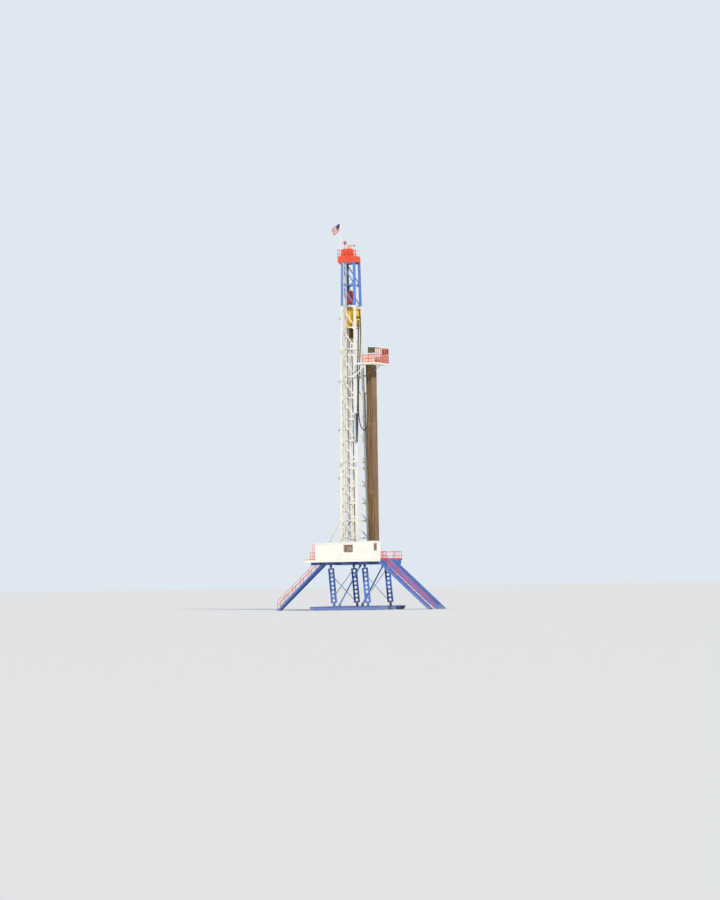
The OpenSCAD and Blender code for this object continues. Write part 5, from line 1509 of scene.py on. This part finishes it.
# Ways up
# nosing: half depth, half width and height; rows: how far each lies behind the edge
stair = {
    "slope": 42.0, "treads": 35, "rise": 0.1, "first": 0.012, "front": 2.75, "rear": -2.6,
    "nosing": (0.005, 0.205, 0.005), "rows": (0.0, 0.016, 0.032),
}


def makeNosings():
    # ribbed front edge on every tread of both flights
    s = Shape()
    run = floor["z"] / math.tan(math.radians(stair["slope"]))
    i = np.arange(1, stair["treads"] + 1)
    z = floor["z"] - i * stair["rise"]
    step = i * run / (stair["treads"] + 1) + stair["first"]
    w, half, high = stair["nosing"]
    for start, out, y in ((stair["front"], 1, floor["frontStair"]), (stair["rear"], -1, floor["rearStair"])):
        for back in stair["rows"]:
            x = start + out * (step - back)
            s.boxes(joined(x - w, y - half, z - 0.001), joined(x + w, y + half, z + high))
    s.made("stairNosings", "yellow", rig, finishSlot="yellow_paint")


# bars: first, last and how many, as shares of the ramp's length; strips: the same, first and last
ramp = {
    "x": (2.75, 6.75), "foot": 0.04, "half": 0.455, "bars": (0.03, 0.96, 26), "strips": (0.05, 0.93),
    "stripY": (-0.3, 0.0, 0.3), "up": (0.67, 0, 0.74), "footBolts": (6.62, 6.78), "footY": 0.515,
    "footZ": 0.055, "headX": 2.80, "headY": 0.575, "headBolts": (3.35, 3.45, 3.55),
}


def makeRampFit():
    # wear bars across the slide plate, strips along it, bolts at its head and its foot
    s, nuts = Shape(), Shape()
    (x0, x1), foot, half = ramp["x"], ramp["foot"], ramp["half"]
    drop = foot - floor["z"]
    t = np.linspace(*ramp["bars"])
    x, z = x0 + (x1 - foot - x0) * t, floor["z"] + drop * t + 0.001
    s.bars(joined(x, -half, z), joined(x, half, z), oblong(0.03, 0.016, 0.003), ramp["up"])
    run = np.array(ramp["strips"])
    for y in ramp["stripY"]:
        p = joined(x0 + (x1 - x0) * run, y, floor["z"] + drop * run + 0.006)
        s.bars(p[:1], p[1:], oblong(0.05, 0.014, 0.003), ramp["up"])
    for sy in both:
        nuts.bolts(joined(ramp["footBolts"], sy * ramp["footY"], ramp["footZ"]), (0, 0, 1), 0.012)
        nuts.bolts(joined(ramp["headX"], sy * ramp["headY"], ramp["headBolts"]), (0, sy, 0), 0.014)
    nuts.made("rampBolts", "steel", rig, finishSlot="bare_steel")
    s.made("rampWearBars", "steel", rig, 0.002, finishSlot="bare_steel")


makeNosings()
makeRampFit()
print("ways up fitted out")

# Doghouse
house = {"x": (-1.4, 3.0), "y": (-3.722, -2.202), "z": 3.6, "high": 1.24, "fall": 0.12}


def wallTop(x):
    # top of the walls at a place along the house
    x0, x1 = house["x"]
    return house["z"] + house["high"] - house["fall"] * (x1 - x) / (x1 - x0)


# near and end: the openings, along the wall from and to, z from and to
window = {
    "frame": 0.036, "deep": 0.014, "near": (0.88, 1.52, 4.16, 4.62), "end": (-3.282, -2.802, 4.26, 4.70),
    "divider": 0.012, "dividerOut": 0.002, "dividerIn": 0.018, "screws": 6, "screw": 0.006,
}


def makeWindowTrim():
    # frames round both windows, the near one screwed on, with a dividing bar in each
    s, nuts = Shape(), Shape()
    w, t, out, inn = (window[key] for key in ("frame", "deep", "dividerOut", "dividerIn"))
    x0, x1, z0, z1 = window["near"]
    y = house["y"][0]
    a, b = (x0 + x1) / 2 - window["divider"], (x0 + x1) / 2 + window["divider"]
    s.boxes([(x0 - w, y - t, z0 - w), (x0 - w, y - t, z1), (x0 - w, y - t, z0), (x1, y - t, z0)],
            [(x1 + w, y, z0), (x1 + w, y, z1 + w), (x0, y, z1), (x1 + w, y, z1)])
    s.boxes((a, y - out, z0), (b, y + inn, z1))
    mid = w / 2
    boltsRound(nuts, x0 - mid, x1 + mid, z0 - mid, z1 + mid, y - t, -1, window["screws"], window["screw"])
    y0, y1, z0, z1 = window["end"]
    x = house["x"][1]
    a, b = (y0 + y1) / 2 - window["divider"], (y0 + y1) / 2 + window["divider"]
    s.boxes([(x, y0 - w, z0 - w), (x, y0 - w, z1), (x, y0 - w, z0), (x, y1, z0)],
            [(x + t, y1 + w, z0), (x + t, y1 + w, z1 + w), (x + t, y0, z1), (x + t, y1 + w, z1)])
    s.boxes((x - inn, a, z0), (x + out, b, z1))
    nuts.made("windowScrews", "steel", rig, finishSlot="bare_steel")
    s.made("windowTrim", "windowBrown", rig, 0.002, finishSlot="brown_steel")


# cover: distance off the wall and under its top; plinth: distance off the wall, foot and head
wall = {
    "foot": 0.02, "corner": 0.02, "rib": 0.008, "ribs": (-0.95, -0.5, -0.05, 0.4, 1.95, 2.4), "deep": 0.007,
    "endRib": 0.012, "ends": ((-1, (-3.3, -2.9, -2.55)), (1, (-3.40, -2.70))), "under": 0.035, "over": 0.05,
    "cover": (0.006, 0.02), "plinth": (0.012, -0.018, 0.06),
}


def makeWallSeams():
    # pressed ribs of the wall sheets, corner strips, the cover strip under the roof and a plinth
    s = Shape()
    (x0, x1), (y0, y1) = house["x"], house["y"]
    low, inset, deep, under = house["z"] + wall["foot"], wall["corner"], wall["deep"], wall["under"]
    x = np.r_[x0 + inset, wall["ribs"], x1 - inset]
    half = np.r_[inset, np.full(len(wall["ribs"]), wall["rib"]), inset]
    s.boxes(joined(x - half, y0 - deep, low + wall["over"]), joined(x + half, y0, wallTop(x) - under))
    out, down = wall["cover"]
    ends = np.array(house["x"])
    strip = joined(ends, y0 - out, wallTop(ends) - down)
    s.bars(strip[:1], strip[1:], oblong(0.010, 0.04), (0, 0, 1))
    out, z0, z1 = wall["plinth"]
    s.boxes((x0 - out, y0 - out, low + z0), (x1 + out, y0, low + z1))
    for x, (side, ribs) in zip(house["x"], wall["ends"]):
        y = np.r_[y0 + inset, ribs, y1 - inset]
        t = wall["endRib"]
        s.boxes(joined(x, y - t, low + wall["over"]), joined(x + side * deep, y + t, wallTop(x) - under))
        s.boxes((x, y0, low + z0), (x + side * out, y1, low + z1))
    s.made("wallRibs", "white", rig, 0.001, finishSlot="white_paint")


# kick and shutter: distance from the door's edges, foot and head
door = {
    "x": (1.9, 2.32), "high": 1.02, "frame": 0.03, "deep": 0.012, "face": (0.006, 0.002),
    "kick": (0.04, 0.04, 0.22), "shutter": (0.1, 0.6, 0.9), "hinges": np.array([0.12, 0.48, 0.84]),
    "hinge": [[0.011, 0], [0.014, 0.004], [0.014, 0.086], [0.011, 0.09]], "leverZ": 0.53, "leverOut": 0.035,
    "lampBack": ((2.05, 0, 4.665), (2.17, 0.03, 4.71)), "lampAt": (2.11, 0.03, 4.6875),
    "lamp": [[0.03, 0], [0.036, 0.008], [0.034, 0.04], [0.02, 0.06], [0.004, 0.066]],
}


def makeDoorFit():
    # hinges, lever, kick plate and closed shutter of the door, with a lamp above it
    s, dark, glass = Shape(), Shape(), Shape()
    (x0, x1), high, w, t = door["x"], door["high"], door["frame"], door["deep"]
    y, z = house["y"][1], house["z"]
    back, front = (y - d for d in door["face"])
    for inset, low, top in (door["kick"], door["shutter"]):
        s.boxes((x0 + inset, back, z + low), (x1 - inset, front, z + top))
    s.turned(door["hinge"], joined(x0 + 0.012, y + 0.006, z + door["hinges"]), (0, 0, 1), 12)
    lever, out = z + door["leverZ"], y + door["leverOut"]
    s.boxes((x1 - 0.065, back, lever - 0.09), (x1 - 0.03, y + 0.004, lever + 0.03))
    s.bars([(x1 - 0.048, y, lever)], [(x1 - 0.048, out, lever)], ngon(10, 0.008))
    s.bars([(x1 - 0.04, out, lever)], [(x1 - 0.15, out, lever)], ngon(10, 0.008))
    top = z + high + w
    dark.boxes([(x0 - w, y, z), (x1, y, z), (x0 - w, y, z + high)],
               [(x0, y + t, top), (x1 + w, y + t, top), (x1 + w, y + t, top)])
    low, high = np.array(door["lampBack"]) + (0, y, 0)
    dark.boxes(low, high)
    glass.turned(door["lamp"], door["lampAt"] + np.array((0, y, 0)), (0, 1, 0), 16)
    glass.made("doorLamp", "lampGlass", rig, smooth=True, finishSlot="window_glass")
    dark.made("doorFrame", "grey", rig, 0.002, finishSlot="grey_paint")
    s.made("doorFittings", "steel", rig, 0.001, finishSlot="bare_steel")


# board: height, inner and outer face, thickness at the end and how far it passes the post
porch = {
    "x": (-2.196, -1.46), "inset": 0.03, "between": 0.16, "high": 1.14, "post": 0.016,
    "rungs": np.array([0.3, 0.56, 0.82, 1.08]), "rung": 0.011, "board": (0.06, 0.018, 0.022, 0.005, 0.04),
}


def makePorchPosts():
    # tall grab posts at both sides of the house end, rungs between them, a kick board round the porch
    s = Shape()
    (x0, x1), z, r = porch["x"], house["z"], porch["post"]
    y0, y1 = house["y"][0] + porch["inset"], house["y"][1] - porch["inset"]
    x = np.array([x1, x1 - porch["between"]])
    rungs = z + porch["rungs"]
    for y in (y0, y1):
        s.bars(joined(x, y, z), joined(x, y, z + porch["high"]), ngon(10, r))
        s.turned([[r * 2.4, 0], [r * 2.4, 0.008], [r, 0.012]], joined(x, y, z), (0, 0, 1), 12)
        s.turned([[r, 0], [r, 0.012], [0.004, 0.018]], joined(x, y, z + porch["high"] - 0.002), (0, 0, 1), 10)
        s.bars(joined(x[0], y, rungs), joined(x[1], y, rungs), ngon(8, porch["rung"]))
    high, near, far, thick, over = porch["board"]
    top = z + high
    s.boxes([(x0, y0 - far, z), (x0, y1 + near, z), (x0, y0 - far, z)],
            [(x1 + over, y0 - near, top), (x1 + over, y1 + far, top), (x0 + thick, y1 + far, top)])
    s.made("porchPosts", "porchOrange", rig, finishSlot="orange_paint")


# corners of the boxes in the room, y from the inner long wall and z from the floor
room = {
    "bench": ((0.3, -0.36, 0.40), (1.8, -0.06, 0.43)),
    "legs": (((0.32, -0.34, 0), (0.62, -0.07, 0.40)), ((1.45, -0.34, 0), (1.75, -0.07, 0.40))),
    "locker": ((-1.2, -0.35, 0), (-0.6, -0.06, 0.95)), "shelf": ((0.3, -0.2, 0.78), (1.7, -0.06, 0.795)),
    "drawerX": np.array([(0.335, 0.605), (1.465, 1.735)]), "drawerY": (-0.352, -0.34),
    "drawerZ": 0.03 + 0.125 * np.arange(3), "drawerHigh": 0.11,
    "things": (((0.75, -0.16, 0.44), (1.1, -0.12, 0.66)), ((1.15, -0.14, 0.62), (1.4, -0.06, 0.76)),
               ((0.45, -0.18, 0.80), (0.8, -0.08, 0.96))),
}


def makeRoom():
    # what shows through the windows: a bench with drawers, a locker and a shelf
    s, dark = Shape(), Shape()
    corner = (0, house["y"][1], house["z"])
    for low, high in (room["bench"], *room["legs"], room["locker"], room["shelf"]):
        s.boxes(np.add(corner, low), np.add(corner, high))
    left, right = room["drawerX"].T[..., None]
    front, back = room["drawerY"]
    z = room["drawerZ"]
    s.boxes(corner + joined(left, front, z), corner + joined(right, back, z + room["drawerHigh"]))
    for low, high in room["things"]:
        dark.boxes(np.add(corner, low), np.add(corner, high))
    dark.made("benchThings", "grey", rig, 0.003, finishSlot="grey_paint")
    s.made("benchAndLocker", "bench", rig, 0.002, finishSlot="timber")


looks["porchOrange"] = paint("porchOrangePaint", (236, 150, 104), 0.35, 0.3)
looks["windowBrown"] = paint("windowBrownPaint", (150, 128, 104), 0.3, 0.4)
looks["bench"] = paint("varnishedBench", (150, 104, 62), 0.2, 0.2, 0.35)
makeWindowTrim()
makeWallSeams()
makeDoorFit()
makePorchPosts()
makeRoom()
print("doghouse fitted out")

# Floor, world and lamps
stage = {
    "radius": 900.0, "sides": 96, "low": -0.002, "paper": (0.80, 0.80, 0.79),
    "fill": (0.34, 0.37, 0.42, 1), "sky": (0.74, 0.80, 0.87, 1),
    # name, azimuth, elevation, strength, angular size and colour
    "lamps": (("keyLamp", 50, 38, 3.0, 4, (1.0, 0.97, 0.92)),
              ("fillLamp", -35, 25, 0.35, 40, (0.95, 0.97, 1.0))),
}


def setGround():
    data = bpy.data.meshes.new("ground")
    ring = ngon(stage["sides"], stage["radius"], 0)
    data.from_pydata(joined(*ring.T, stage["low"]).tolist(), [], [list(range(stage["sides"]))])
    ground = bpy.data.objects.new("ground", data)
    bpy.context.scene.collection.objects.link(ground)
    f = Finish("groundPaper")
    f.set(Base_Color=stage["paper"], Roughness=0.9)
    data.materials.append(f.material)


def setWorld():
    # the camera, also through glass, sees the bright sky; everything else is lit by the fill
    world = bpy.data.worlds.new("world")
    bpy.context.scene.world = world
    world.use_nodes = True
    tree = world.node_tree
    backdrop = tree.nodes["Background"]
    path = tree.nodes.new("ShaderNodeLightPath")
    seen = tree.nodes.new("ShaderNodeMath")
    seen.operation = "MAXIMUM"
    tree.links.new(path.outputs["Is Camera Ray"], seen.inputs[0])
    tree.links.new(path.outputs["Is Transmission Ray"], seen.inputs[1])
    mix = tree.nodes.new("ShaderNodeMix")
    mix.data_type = "RGBA"
    mix.inputs[6].default_value = stage["fill"]
    mix.inputs[7].default_value = stage["sky"]
    tree.links.new(seen.outputs[0], mix.inputs[0])
    tree.links.new(mix.outputs[2], backdrop.inputs["Color"])
    backdrop.inputs["Strength"].default_value = 1.0


def setLamps():
    for name, azimuth, elevation, power, size, colour in stage["lamps"]:
        light = bpy.data.lights.new(name, "SUN")
        light.energy, light.angle, light.color = power, math.radians(size), colour
        sun = bpy.data.objects.new(name, light)
        bpy.context.scene.collection.objects.link(sun)
        a, e = math.radians(azimuth), math.radians(elevation)
        shine = Vector((-math.sin(a) * math.cos(e), math.cos(a) * math.cos(e), -math.sin(e)))
        sun.rotation_euler = shine.to_track_quat("-Z", "Y").to_euler()


setGround()
setWorld()
setLamps()
print("stage set")
